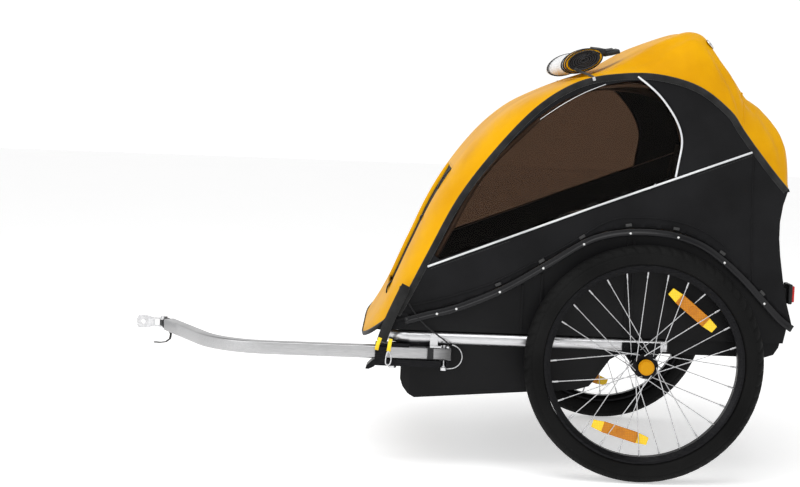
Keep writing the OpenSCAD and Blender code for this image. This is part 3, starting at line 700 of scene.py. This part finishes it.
def panel_y(x, z, side):
    """Where the stretched side cloth lies: a soft bulge, and puckers beside its seams."""
    bulge = 2.0 * math.sin(math.pi * min(max((z - 330) / 500, 0), 1))
    arch_z = next((a[1] + (b[1] - a[1]) * (x - a[0]) / (b[0] - a[0])
                   for a, b in zip(ARCH, ARCH[1:]) if a[0] <= x <= b[0]), 330)
    near = math.exp(-max(z - arch_z, 0) / 45)
    pucker = 1.2 * near * math.sin(x / 13 + 2 * math.sin(x / 71)) if z > arch_z + 8 else 0
    soft = 1.6 * noise.noise(Vector((x / 90, z / 60, side)))
    wall = min(1.0, max(0.0, (z - arch_z - 4) / 30))
    by_pane = min(1.0, max(0.0, (0.389 * (x + 451) + 434 - z) / 40)) if z < 700 and x < 60 else 1.0
    return side * (SIDE_Y + (bulge + (soft + pucker) * by_pane) * wall * 0.8)


def window_y(z):
    """Where the window's film lies: just inside the panel, bulging a little."""
    return 301.4 + 1.2 * math.sin(math.pi * (z - 430) / 420)


side_pieces, window_pieces = [], []
for side, word in ((-1, "left"), (1, "right")):
    lower = spline([(x, z + 1) for x, z in ARCH[::-1]], 3)
    outline = (spline([(x + 1, z - 1) for x, z in SEAM], 4)
               + [(277, 585), (272.5, 550), (273, 515), (277, 480), (285, 432), (294, 388)]
               + lower[:-1])
    o = patch("side_panel_" + word, outline, [pane_outline(0)[::-1]], 11,
              lambda x, z, s=side: at(x, panel_y(x, z, s), z), BLACK_CLOTH,
              replaced=["side_panels"])
    thicken(o, 0.8)
    side_pieces.append(o)
    w = patch("side_window_" + word, pane_outline(3), [], 16,
              lambda x, z, s=side: at(x, s * window_y(z), z), SMOKE, replaced=["side_windows"])
    thicken(w, 0.5)
    window_pieces.append(w)

corner = [(-556, 296), (-536, 322), (-517, 338), (-490, 330), (-478, 312), (-500, 300),
          (-528, 292)]
for side, word in ((-1, "left"), (1, "right")):
    o = patch("front_corner_" + word, corner, [], 12,
              lambda x, z, s=side: at(x, s * (303.6 + 1.2 * math.sin(x / 9)), z), BLACK_CLOTH)
    thicken(o, 0.8)
    side_pieces.append(o)

seam_path = even(at_side(-304.6, SEAM, 6), 0.012)
BINDING = [(-1.2, -1), (0.4, -2), (1.6, -0.5), (2.2, 5), (1.6, 10.4), (0.4, 11.8), (-1.2, 11)]
binding = sweep("seam_binding", seam_path, BINDING, (0, -1, 0), WEB, replaced=["seam_bindings"])
both_sides(binding)

pipes = []
straight = even([at(-453, -305.4, 431), at(-120, -305.9, 565), at(207, -305.4, 692)], 0.02)
pipes.append(sweep("piping", straight, ring(2.2, 8), (0, 1, 0), TAPE))
pipes.append(sweep("piping", at_side(-305.6, PIPING_CURVE, 6), ring(2.1, 8), (0, 1, 0), TAPE))
pipes.append(sweep("piping", [at(-2, -306, 609), at(5, -307.5, 613), at(11, -307.5, 620)],
                   flat_strip(4, 1.4), (0, 1, 0), TAPE))
piping = join_parts("reflective_piping_tape", pipes, TAPE, replaced=["reflective_piping"])
both_sides(piping)

zip_path = at_side(-304.6, [(-233, 744), (-190, 775), (-146, 801), (-101, 821)], 6)
zip_line = sweep("window_top_seam", zip_path, ring(0.7, 6), (0, 1, 0), TAPE)
both_sides(zip_line)

# the hem sewn above the rail, with a folded cord in it
HEM = [(-486, 348), (-415, 366), (-343, 391), (-308, 406), (-215, 457), (-150, 496), (-100, 530),
       (-60, 546), (10, 549), (70, 541), (122, 522), (170, 488)]
side_hem = sweep("side_panel_hem", at_side(-304.9, HEM, 5), ring(1.5, 6), (0, 1, 0), BLACK_CLOTH)
both_sides(side_hem)

STITCH = (0.0040, 0.0007, 0.0008)


def stitches(name, line, off, y):
    """A row of stitches, 6.5 mm apart, off to one side of a line of (x, z) in mm."""
    pts = even([Vector((x, 0, z)) for x, z in line], 6.5)
    bits = bmesh.new()
    for a, b in zip(pts, pts[1:]):
        t = (b - a).normalized()
        c = (a + b) / 2 + Vector((t.z, 0, -t.x)) * off
        made = bmesh.ops.create_cube(bits, size=1)["verts"]
        bmesh.ops.scale(bits, vec=STITCH, verts=made)
        spin = Matrix.Rotation(-math.atan2(t.z, t.x), 4, "Y")
        bmesh.ops.transform(bits, matrix=Matrix.Translation(at(c.x, y, c.z)) @ spin, verts=made)
    o = add_object(name, store(bits, name), THREAD, smooth=False)
    both_sides(o)
    return o


# stitches under the straight piping
thread = stitches("piping_stitches", [(-449, 431), (207, 691)], 5.5, -304.4)

# the welt of the rear gusset, running down the side panel
gusset_line = spline([(211, 690), (212, 593), (217, 490), (223, 420)], 8)
gusset = sweep("side_panel_gusset", [at(x, panel_y(x, z, -1) - 1.2, z) for x, z in gusset_line],
               ring(1.2, 6), (0, 1, 0), BLACK_CLOTH)
both_sides(gusset)

verts = []
rear_profile = [(301.5, 334.5)] + spline([(299.5, 347), (293, 386), (284, 431), (276, 480),
                                          (271, 530), (273, 570), (286, 614)], 4)
REAR_HALF = 302.4       # half the rear panel's width, in mm
for x, z in rear_profile:
    for j in range(49):
        y = REAR_HALF * (j / 24 - 1)
        edge = 1 - (abs(y) / REAR_HALF) ** 6
        wave = 2.2 * noise.noise(Vector((y / 120, z / 90, 3))) + 1.5 * math.sin(z / 40 + y / 55)
        inner = min(1, max(0, (z - 350) / 40))
        verts.append(at(x + (wave * edge - 2) * inner, y, z))
rear_mesh = mesh_from("rear_panel_cloth", verts, grid_faces(len(rear_profile), 49))
rear = add_object("rear_panel_cloth", rear_mesh, BLACK_CLOTH, replaced=["rear_panel"])
thicken(rear, 0.8)

# ---- rain cover roll


ROLL_X, ROLL_Z = -141, 870          # middle of the roll's section, in mm
ROLL_LONG, ROLL_HIGH = 41, 22.5     # half its size along and up, before the tilt
ROLL_TILT = math.radians(20)


def roll_section(k, a):
    """A point of the squashed roll at share k of its size and angle a."""
    x, z = ROLL_LONG * k * math.cos(a), ROLL_HIGH * k * math.sin(a)
    c, s = math.cos(ROLL_TILT), math.sin(ROLL_TILT)
    return ROLL_X + x * c - z * s, ROLL_Z + x * s + z * c


def round_roll(y, k, n):
    """n points round the roll at share k of its size."""
    return [at(x, y, z) for x, z in (roll_section(k, 2 * math.pi * j / n) for j in range(n))]


def rolled(name, y0, y1, k0, k1, turns, mat, thick, start, steps, replaced=()):
    """A sheet rolled up from share k0 to k1 of the roll's size, between two places in y."""
    n = int(40 * turns)
    verts = []
    for i in range(steps + 1):
        y = y0 + (y1 - y0) * i / steps
        for j in range(n + 1):
            k = k0 + (k1 - k0) * j / n
            a = start + 2 * math.pi * turns * j / n
            k *= 1 + 0.03 * noise.noise(Vector((y / 45, math.cos(a) * 1.5, math.sin(a) * 1.5)))
            x, z = roll_section(k, a)
            verts.append(at(x, y, z))
    mesh = mesh_from(name, verts, grid_faces(steps + 1, n + 1))
    o = add_object(name, mesh, mat, replaced=replaced)
    thicken(o, thick)
    return o


roll_white = rolled("rain_cover_outer", -206, 238, 0.93, 1.0, 1.15, WHITE_SHEET, 0.8, 3.6, 26,
                    replaced=["rain_cover_roll"])
roll_yellow = rolled("rain_cover_yellow_layer", -234, -204, 0.90, 0.91, 1.0, YELLOW, 6.0, 3.4, 5)
roll_core = rolled("rain_cover_core", -233, 236, 0.12, 0.80, 3.2, CLEAR_DARK, 0.7, 1.0, 14)
rims = []
for y, k, r in ((-206, 1.015, 1.6), (-234.5, 0.985, 1.5), (-236, 0.80, 1.9)):
    rims.append(sweep("rim", round_roll(y, k, 48), ring(r, 6), (0, 1, 0), WEB, loop=True))
for turn in range(5):
    shares = [k / 44 for k in range(45)]
    spiral = [at(x, -235.4 + 0.5 * turn, z) for x, z in
              (roll_section(0.13 + 0.13 * (turn + t), 1.0 + 2 * math.pi * t) for t in shares)]
    rims.append(sweep("spiral_edge", spiral, ring(1.9, 6), (0, 1, 0), CLEAR_DARK))
roll_rims = join_parts("rain_cover_bound_edges", rims, CLEAR_DARK)
verts = []
for i in range(13):
    for j in range(48):
        x, z = roll_section(0.80 * i / 12, 2 * math.pi * j / 48)
        verts.append(at(x, -231 + 1.2 * math.sin(i * 2.6 + j * 0.13), z))
end_mesh = mesh_from("rain_cover_end", verts, grid_faces(13, 48, wrap_cols=True))
roll_end = add_object("rain_cover_end", end_mesh, CLEAR_DARK)
thicken(roll_end, 0.6)

straps = []
for y in (-175, 168):
    straps.append(sweep("roll_strap", round_roll(y, 1.06, 40),
                        [(-10, -0.8), (10, -0.8), (10, 0.8), (-10, 0.8)], (0, 1, 0), WEB,
                        loop=True))
tongue = [at(-128, -222, 889), at(-112, -218, 888), at(-98, -214, 886), at(-82, -212, 889),
          at(-68, -210, 893)]
straps.append(sweep("roll_tongue", even(tongue, 0.005), flat_strip(34, 9), (0, 1, 0.15), WEB))
straps.append(sweep("roll_tongue_upper", even([p + Vector((0.004, -0.001, 0.006))
                                               for p in tongue[:4]], 0.005),
                    flat_strip(24, 5), (0, 1, 0.25), WEB))
under = [at(-160, -238, 852), at(-146, -246, 845), at(-138, -262, 842), at(-128, -290, 836),
         at(-124, -305, 829)]
straps.append(sweep("roll_under_strap", even(under, 0.006), flat_strip(7, 1.8), (1, 0, 0.3), WEB))
roll_straps = join_parts("roll_strap_webbing", straps, WEB, replaced=["roll_straps"])
roll_buckle = block("roll_strap_buckle", (-116, -234, 884), (-96, -206, 896), PLASTIC, 2.2)
slider = block("roll_strap_slider", (-129, -309, 827), (-123, -305.5, 835), STEEL, 0.8, turn=-0.3)

# roof grommet for the flag pole
gu, gv = 9.37, -0.735
pa, pb = cover_place(gu, gv), cover_place(gu + 0.03, gv)
pc = cover_place(gu, gv + 0.02)
g_up = (pc - pa).cross(pb - pa).normalized()
if g_up.z < 0:
    g_up = -g_up
g_side = (pb - pa).normalized()
g_across = g_up.cross(g_side)


def on_roof(r, lift, n):
    """A circle of n points round the grommet's middle, in metres."""
    return [pa + g_up * lift + g_side * x + g_across * y for x, y in ring(r, n)]


grommet = sweep("roof_grommet_ring", on_roof(0.0085, 0.0012, 32),
                [(-1.4, -3), (1.2, -3.2), (2.2, 0), (1.2, 3.2), (-1.4, 3)], g_up, STEEL,
                replaced=["roof_grommet"], loop=True)
# the eye is a dark disc laid on the uncut canopy inside the ring: painted shade standing in for
# the hole
eye_mesh = mesh_from("roof_grommet_eye", on_roof(0.0001, 0.0008, 24) + on_roof(0.006, 0.0008, 24),
                     grid_faces(2, 24, wrap_cols=True))
grommet_eye = add_object("roof_grommet_eye", eye_mesh, PAINTED_HOLE_SHADE)

# dark ends of the screen's zips and strap at the front edge
tabs = []
for u0, u1 in ((3.05, 3.42), (2.52, 2.6), (1.14, 1.4)):
    path = [cover_place(u0 + (u1 - u0) * i / 8, -SCREEN_V + 0.02,
                        -3.5 * math.sin(math.pi * i / 8) - 1) for i in range(9)]
    tabs.append(sweep("tab", path, flat_strip(14, 3), (0, 1, 0), WEB))
screen_tabs = join_parts("screen_tabs", tabs, WEB)

soft_on_cage = [canopy, screen, screen_frame, thread, canopy_edges, roof_welts, *side_pieces,
                *window_pieces, binding, piping, zip_line, side_hem, gusset, rear, roll_white,
                roll_yellow, roll_core, roll_rims, roll_end, roll_straps, roll_buckle, slider,
                grommet, grommet_eye, screen_tabs]

# ---- front straps and hooks

strap = even([at(-499, -311.4, 387), at(-501, -312.6, 379), at(-518, -313.6, 341),
              at(-531, -314.2, 310), at(-542, -314.6, 276), at(-543, -314.2, 272)], 0.008)
front_strap = sweep("front_strap", strap, flat_strip(21, 1.8), (1, 0.0, 0.35), WEB,
                    replaced=["front_straps"])
both_sides(front_strap)
strap_cap = block("front_strap_tab", (-506, -313.6, 374), (-488, -311.6, 391), WEB, 0.9, turn=0.45)
strap_cap.data.transform(Matrix.Translation((-0.003, 0, 0.001)))
both_sides(strap_cap)
loops = []
for pts in ([(-546, -316.4, 280), (-550, -318, 268), (-552, -322, 262), (-553, -324, 255)],
            [(-524, -316.4, 278), (-526, -320, 268), (-527, -326, 260), (-528, -328.6, 253)]):
    loops.append(sweep("loop", even([at(*p) for p in pts], 0.003), flat_strip(8, 2.2), (1, 0, 0.2),
                       CORD))
elastic = join_parts("hem_elastics", loops, CORD, replaced=["hem_hooks"])
both_sides(elastic)
HOOK = [(-528, 254), (-524, 248), (-522, 238), (-524, 228), (-529, 225), (-533, 229),
        (-533, 240), (-531, 250), (-528, 254)]
hook = sweep("hem_hook_wire", at_side(-329, HOOK, 6), ring(1.4, 8), (0, 1, 0), STEEL)
both_sides(hook)

# ---- rail along the tub rim

RAIL_DROP = 7.5     # how far the rail's middle lies below the rim, in mm
rail_line = at_side(-309.4, [(x, z - RAIL_DROP) for x, z in ARCH[1:]], 6)
rail = sweep("edge_rail", even(rail_line, 0.01),
             [(-1.6, -7), (0.2, -7.2), (0.7, -6), (0.8, 0.2), (2.2, 0.8), (3.0, 2.2), (3.3, 4),
              (3.0, 5.8), (2.2, 7.0), (0.8, 7.6), (-1.6, 7.2)], (0, -1, 0), GLOSS_BLACK,
             replaced=["edge_rails"])
both_sides(rail)

RIVET_X = [-430, -390, -301, -213, -131, -36, 63, 161, 248]


def arch_at(x):
    """Height and slope of the tub's arched rim at x."""
    a, b = next((a, b) for a, b in zip(ARCH, ARCH[1:]) if a[0] <= x <= b[0])
    t = (x - a[0]) / (b[0] - a[0])
    return a[1] + (b[1] - a[1]) * t, (b[1] - a[1]) / (b[0] - a[0])


heads, tabs = [], []
for x in RIVET_X:
    z = arch_at(x)[0] - 9.5
    bm = bmesh.new()
    bmesh.ops.create_uvsphere(bm, u_segments=20, v_segments=10, radius=0.0027)
    bmesh.ops.scale(bm, vec=(1, 0.55, 1), verts=bm.verts)
    bmesh.ops.translate(bm, vec=at(x, -311.6, z), verts=bm.verts)
    heads.append(add_object("head", store(bm, "head"), WHITE))
rivets = join_parts("rail_rivet_heads", heads, WHITE, replaced=["rail_rivets"])
both_sides(rivets)
for x in RIVET_X[2:]:
    z, slope = arch_at(x - 4)
    tab = block("tab", (-6.5, -308.4, -3.2), (6.5, -304.6, 3.2), PLASTIC, 1.4)
    tab.data.transform(Matrix.Translation(at(x - 4, 0, z + 8))
                       @ Matrix.Rotation(-math.atan(slope), 4, "Y")
                       @ Matrix.Translation(-at(0, 0, 0)))
    tabs.append(tab)
snaps = join_parts("cover_snap_tabs", tabs, SNAP_GREY, replaced=["cover_snaps"])
both_sides(snaps)

# ---- wheels


def tyre(side, word):
    """A tyre with a blocked tread; the profile is (radius, across) in mm."""
    half = [(247.6, 0.8), (247.5, 3), (246.8, 6.5), (245.2, 10.4), (242.6, 13.8), (239.4, 16.8),
            (235.8, 19.0), (233.0, 20.0), (231.6, 19.4), (230.0, 20.6), (226, 21.8), (220, 21.7),
            (214, 20.2), (211.6, 19.2), (210.4, 18.2), (207.5, 15.5)]
    profile = ([(r, -w) for r, w in half[::-1]] + half
               + [(214, 12), (228, 16), (238, 9), (240, 0), (238, -9), (228, -16), (214, -12)])
    per = 7         # steps round the tyre for each of its 62 tread blocks
    steps = 62 * per
    verts = []
    for i in range(steps):
        a = 2 * math.pi * i / steps
        for k, (r, w) in enumerate(profile):
            if k < 2 * len(half):
                depth = max(0.0, min(1.0, (r - 232.2) / 3))
                place = (i + abs(w) * 0.22 + (per / 2 if w > 0 else 0)) % per
                if depth and abs(w) > 3.4 and place < 1.3:
                    r -= 2.4 * depth
                    w -= math.copysign(1.2 * depth, w)
                if abs(w) < 1:
                    r -= 0.6
            verts.append(at(0, side * WHEEL_Y + w, AXLE_Z * 1000)
                         + Vector((r * math.cos(a), 0, r * math.sin(a))) / 1000)
    mesh = mesh_from("tyre_rubber_" + word, verts, grid_faces(steps, len(profile), True, True))
    fix_normals(mesh)
    return add_object("tyre_rubber_" + word, mesh, RUBBER, "wheel_" + word, ["tyre_" + word])


def reflector_parts(side, word):
    """The two reflectors between a wheel's spokes: body with its boss, bright ends, ridges."""
    body, ends, rings = [], [], []
    for angle in (50.7, 253.7):
        turn = (Matrix.Translation(at(0, side * WHEEL_Y, AXLE_Z * 1000))
                @ Matrix.Rotation(-math.radians(angle), 4, "Y")
                @ Matrix.Translation((0.150, 0, 0)))
        for low, high, group in (((-11.8, -3.0, -38), (11.8, 3.0, 38), body),
                                 ((-11.4, -2.6, 37), (11.4, 2.6, 60.5), ends),
                                 ((-11.4, -2.6, -60.5), (11.4, 2.6, -37), ends),
                                 ((-8, -3.8, 34), (8, 3.8, 36), rings),
                                 ((-8, -3.8, -36), (8, 3.8, -34), rings)):
            bm = rounded_box(low, high, 1.6)
            bmesh.ops.translate(bm, vec=Vector([(a + b) / 2000 for a, b in zip(low, high)]),
                                verts=bm.verts)
            for v in bm.verts:
                v.co.x *= 1 - 0.28 * max(0.0, (abs(v.co.z) - 0.037) / 0.0235)
            bmesh.ops.transform(bm, matrix=turn, verts=bm.verts)
            group.append(bpy.data.objects.new("part", store(bm, "part")))
        bm = bmesh.new()
        for r, h in ((8, 9), (3.4, 10.4)):
            bmesh.ops.create_cone(bm, segments=32, radius1=r / 1000, radius2=r / 1000,
                                  depth=h / 1000, cap_ends=True,
                                  matrix=Matrix.Rotation(math.pi / 2, 4, "X"))
        bmesh.ops.transform(bm, matrix=turn, verts=bm.verts)
        body.append(bpy.data.objects.new("boss", store(bm, "boss")))
    join_flat("reflector_body_" + word, body, AMBER, word, ["wheel_reflectors_" + word])
    join_flat("reflector_ends_" + word, ends, BRIGHT_AMBER, word)
    join_flat("reflector_ridges_" + word, rings, AMBER, word)


def join_flat(name, parts, mat, word, replaced=()):
    """One flat-shaded object on a wheel out of several parts."""
    shade(join_parts(name, parts, mat, "wheel_" + word, replaced).data, False)


for side, word in ((-1, "left"), (1, "right")):
    tyre(side, word)
    reflector_parts(side, word)

# ---- tow bar

BEND_X, BEND_R, BEND = -775, 177, math.radians(61)


def on_bar(x):
    return at(x, -SIDE_Y, BAR_Z)


path = [on_bar(x) for x in (-398, -571, -622, -673, -724)]
for k in range(21):
    a = BEND * k / 20
    path.append(at(BEND_X - BEND_R * math.sin(a), -SIDE_Y + BEND_R * (1 - math.cos(a)), BAR_Z))
forward = Vector((-math.cos(BEND), math.sin(BEND), 0))
NOSE = path[-1] + forward * 0.205
path += [path[-1] + forward * 0.1, NOSE]
bar = sweep("tow_bar_tube", path, rounded_square(26, 3.2), (0, 0, 1), BAR_METAL, "tow_bar",
            ["tow_bar"])
sweep("tow_bar_sleeve", [on_bar(x) for x in (-446, -445, -435, -434)],
      rounded_square(27.6, 3.6), (0, 0, 1), PLASTIC, "tow_bar")
sweep("tow_bar_tail_plug", [on_bar(-399), on_bar(-397.4)], rounded_square(23, 2), (0, 0, 1),
      PLASTIC, "tow_bar")

lanyard_line = [(-489, -306.2, 352), (-476, -308.6, 333), (-459, -312.6, 314), (-444, -312.8, 301),
                (-428, -313.4, 290), (-414, -313.8, 280), (-403, -313.6, 272)]
lanyard_path = [at(*p) for p in spline(lanyard_line, 6)]
lanyard = sweep("pin_lanyard_cord", lanyard_path, ring(1.5, 8), (0, 1, 0), PLASTIC,
                replaced=["pin_lanyard"])
strap_line = [NOSE + Vector(p) / 1000 for p in
              ((2, -10, -12.6), (6, -11, -20), (4, -11, -31), (-6, -7, -39), (-20, 0, -42),
               (-34, 4, -42))]
hitch_strap = sweep("safety_strap_webbing", even(strap_line, 0.004), flat_strip(7, 2.4),
                    (0.5, 0.86, 0), WEB, "tow_bar", ["safety_strap"])

# ---- seat, straps


def pad(name, outline, y0, y1, cap, replaced):
    """A sewn pad: a rounded block in X and Z from y0 to y1 that is then blown up softly."""
    bm = bmesh.new()
    low = [bm.verts.new(at(x, y0, z)) for x, z in outline]
    high = [bm.verts.new(at(x, y1, z)) for x, z in outline]
    bm.faces.new(low)
    bm.faces.new(high[::-1])
    for i in range(len(outline)):
        j = (i + 1) % len(outline)
        bm.faces.new((low[j], low[i], high[i], high[j]))
    bmesh.ops.recalc_face_normals(bm, faces=bm.faces)
    obj = add_object(name, store(bm, name), PADDING, replaced=replaced)
    r = obj.modifiers.new("remesh", "REMESH")
    r.mode = "VOXEL"
    r.voxel_size = 0.0065
    apply_modifiers(obj)
    start = [v.co.copy() for v in obj.data.vertices]
    c = obj.modifiers.new("cloth", "CLOTH")
    c.settings.use_pressure = True
    c.settings.uniform_pressure_force = 4
    c.settings.effector_weights.gravity = 0
    c.point_cache.frame_start, c.point_cache.frame_end = 1, 20
    scene = bpy.context.scene
    for f in range(1, 21):
        scene.frame_set(f)
    apply_modifiers(obj)
    scene.frame_set(1)
    for v, s in zip(obj.data.vertices, start):
        d = v.co - s
        if d.length > cap / 1000:
            v.co = s + d.normalized() * cap / 1000
    wear(obj, PADDING)
    subdivide(obj)
    apply_modifiers(obj)
    return obj


seat = pad("seat_cushion", [(-94, 272), (54, 272), (56, 306), (46, 312), (-84, 316), (-96, 306)],
           -255, 255, 6, ["seat_base"])
back = pad("seat_backrest", [(70, 306), (80, 306), (144, 700), (144, 752), (140, 752), (138, 700)],
           -229, 229, 5, ["seat_back"])

HARNESS_RUN = [(126, 664), (112, 580), (97, 490), (82, 400), (71, 346), (56, 336), (20, 325)]
harness, cross = [], []
for s in (-125, 125):
    for d in (-42, 42):
        line = [at(x - 5, s + d * (1 if z > 340 else 0.8), z) for x, z in spline(HARNESS_RUN, 5)]
        harness.append(sweep("strap", even(line, 0.012), flat_strip(34, 2), (0, 1, 0), WEB))
    line = [at(-60, s, 325), at(-35, s, 324.5), at(-13, s, 324)]
    cross.append(sweep("strap", even(line, 0.01), flat_strip(34, 2), (0, 1, 0), WEB))
    line = [at(33, s + y, 322 + 3 * abs(y / 62)) for y in (-62, -30, 0, 30, 62)]
    cross.append(sweep("strap", even(line, 0.01), flat_strip(28, 2), (1, 0, 0), WEB))
shoulder = join_parts("shoulder_strap_webbing", harness, WEB, replaced=["shoulder_straps"])
lap = join_parts("lap_strap_webbing", cross, WEB, replaced=["lap_straps"])

# ---- rear reflector

holders, lenses = [], []
for y0, y1 in ((-287, -237), (237, 287)):
    holders.append(block("holder", (303, y0, 377), (311.6, y1, 419), PLASTIC, 2.5))
    holders.append(block("stand", (294, y0 + 14, 388), (305, y1 - 14, 408), PLASTIC, 2.0))
    lenses.append(block("lens", (310.5, y0 + 4, 381), (316.8, y1 - 4, 415), RED_LENS, 2.0))
holder = join_parts("rear_reflector_holders", holders, PLASTIC, replaced=["rear_reflector"])
lens_piece = join_parts("rear_reflector_lenses", lenses, RED_LENS)

soft_on_cage += [back, shoulder]
folds_down(*soft_on_cage)
for o in (front_strap, strap_cap):
    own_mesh(o)

# ---- CAD pieces that stay

CAD_LOOKS = (
    (TUB, "tub"),
    (ALUMINIUM, "side_rails front_cross_tube axle_beam hoop_left hoop_right hoop_crossbar"
                " roll_bar tail_clamp"),
    (STEEL, "stub_axles cage_pins tow_pivot_bolt retaining_pin hitch_plate hitch_pin"),
    (PLASTIC, "rail_end_plugs harness_buckles hoop_saddles flag_socket hitch_connector"),
    (BLACK_METAL, "axle_brackets cage_hinges receiver rim_left rim_right hub_left hub_right"),
    (RED, "buckle_button_left buckle_button_right"),
    (WIRE, "spokes_left spokes_right"),
    (YELLOW_CAP, "axle_button_left axle_button_right"),
)
for name in ("tub", "receiver", "tail_clamp", "axle_brackets", "hoop_saddles", "cage_hinges",
             "harness_buckles", "hitch_connector", "front_cross_tube"):
    round_edges(nodes[name], 1.2 if name in ("tub", "receiver") else 0.7)
for look_mat, names in CAD_LOOKS:
    for name in names.split():
        wear(nodes[name], look_mat)


# ---- floor and light

floor_mat, tree, shader, coords = new_material("paper floor", (0.96, 0.96, 0.96), 0.9)
two_tone(tree, shader, noise_node(tree, coords, 2, 2), (0.955, 0.955, 0.955), (0.97, 0.97, 0.97))
set_inputs(shader, {"Emission Color": (1, 1, 1, 1), "Emission Strength": 0.42})
floor_mesh = mesh_from("floor", [Vector((x, y, -0.0005)) for x, y in
                                 ((-12, -8), (12, -8), (12, 16), (-12, 16))], [(0, 1, 2, 3)])
floor = bpy.data.objects.new("floor", floor_mesh)
bpy.context.scene.collection.objects.link(floor)
floor_mesh.materials.append(floor_mat)

world = bpy.data.worlds.new("white surroundings")
bpy.context.scene.world = world
world.use_nodes = True
tree = world.node_tree
coords = tree.nodes.new("ShaderNodeTexCoord")
split = tree.nodes.new("ShaderNodeSeparateXYZ")
link(tree, coords.outputs["Generated"], split.inputs["Vector"])
sky = tree.nodes.new("ShaderNodeMapRange")
sky.interpolation_type = "SMOOTHSTEP"
set_inputs(sky, {"From Min": 0.30, "From Max": 0.75, "To Min": 1.06, "To Max": 0.35})
link(tree, split.outputs["Z"], sky.inputs["Value"])
link(tree, sky.outputs["Result"], tree.nodes["Background"].inputs["Strength"])
tree.nodes["Background"].inputs["Color"].default_value = (1, 1, 1, 1)


def softbox(name, place, toward, size, power):
    lamp = bpy.data.lights.new(name, "AREA")
    lamp.shape = "RECTANGLE"
    lamp.size, lamp.size_y = size
    lamp.energy = power
    obj = bpy.data.objects.new(name, lamp)
    bpy.context.scene.collection.objects.link(obj)
    obj.location = place
    obj.rotation_mode = "QUATERNION"
    obj.rotation_quaternion = (Vector(toward) - Vector(place)).to_track_quat("-Z", "Y")


softbox("softbox above", (-0.3, -1.2, 3.2), (0, 0, 0.4), (3.0, 2.0), 56)
softbox("softbox front left", (-2.8, -2.4, 1.6), (0, 0, 0.4), (1.6, 1.8), 24)
bpy.context.scene.view_settings.view_transform = "Standard"
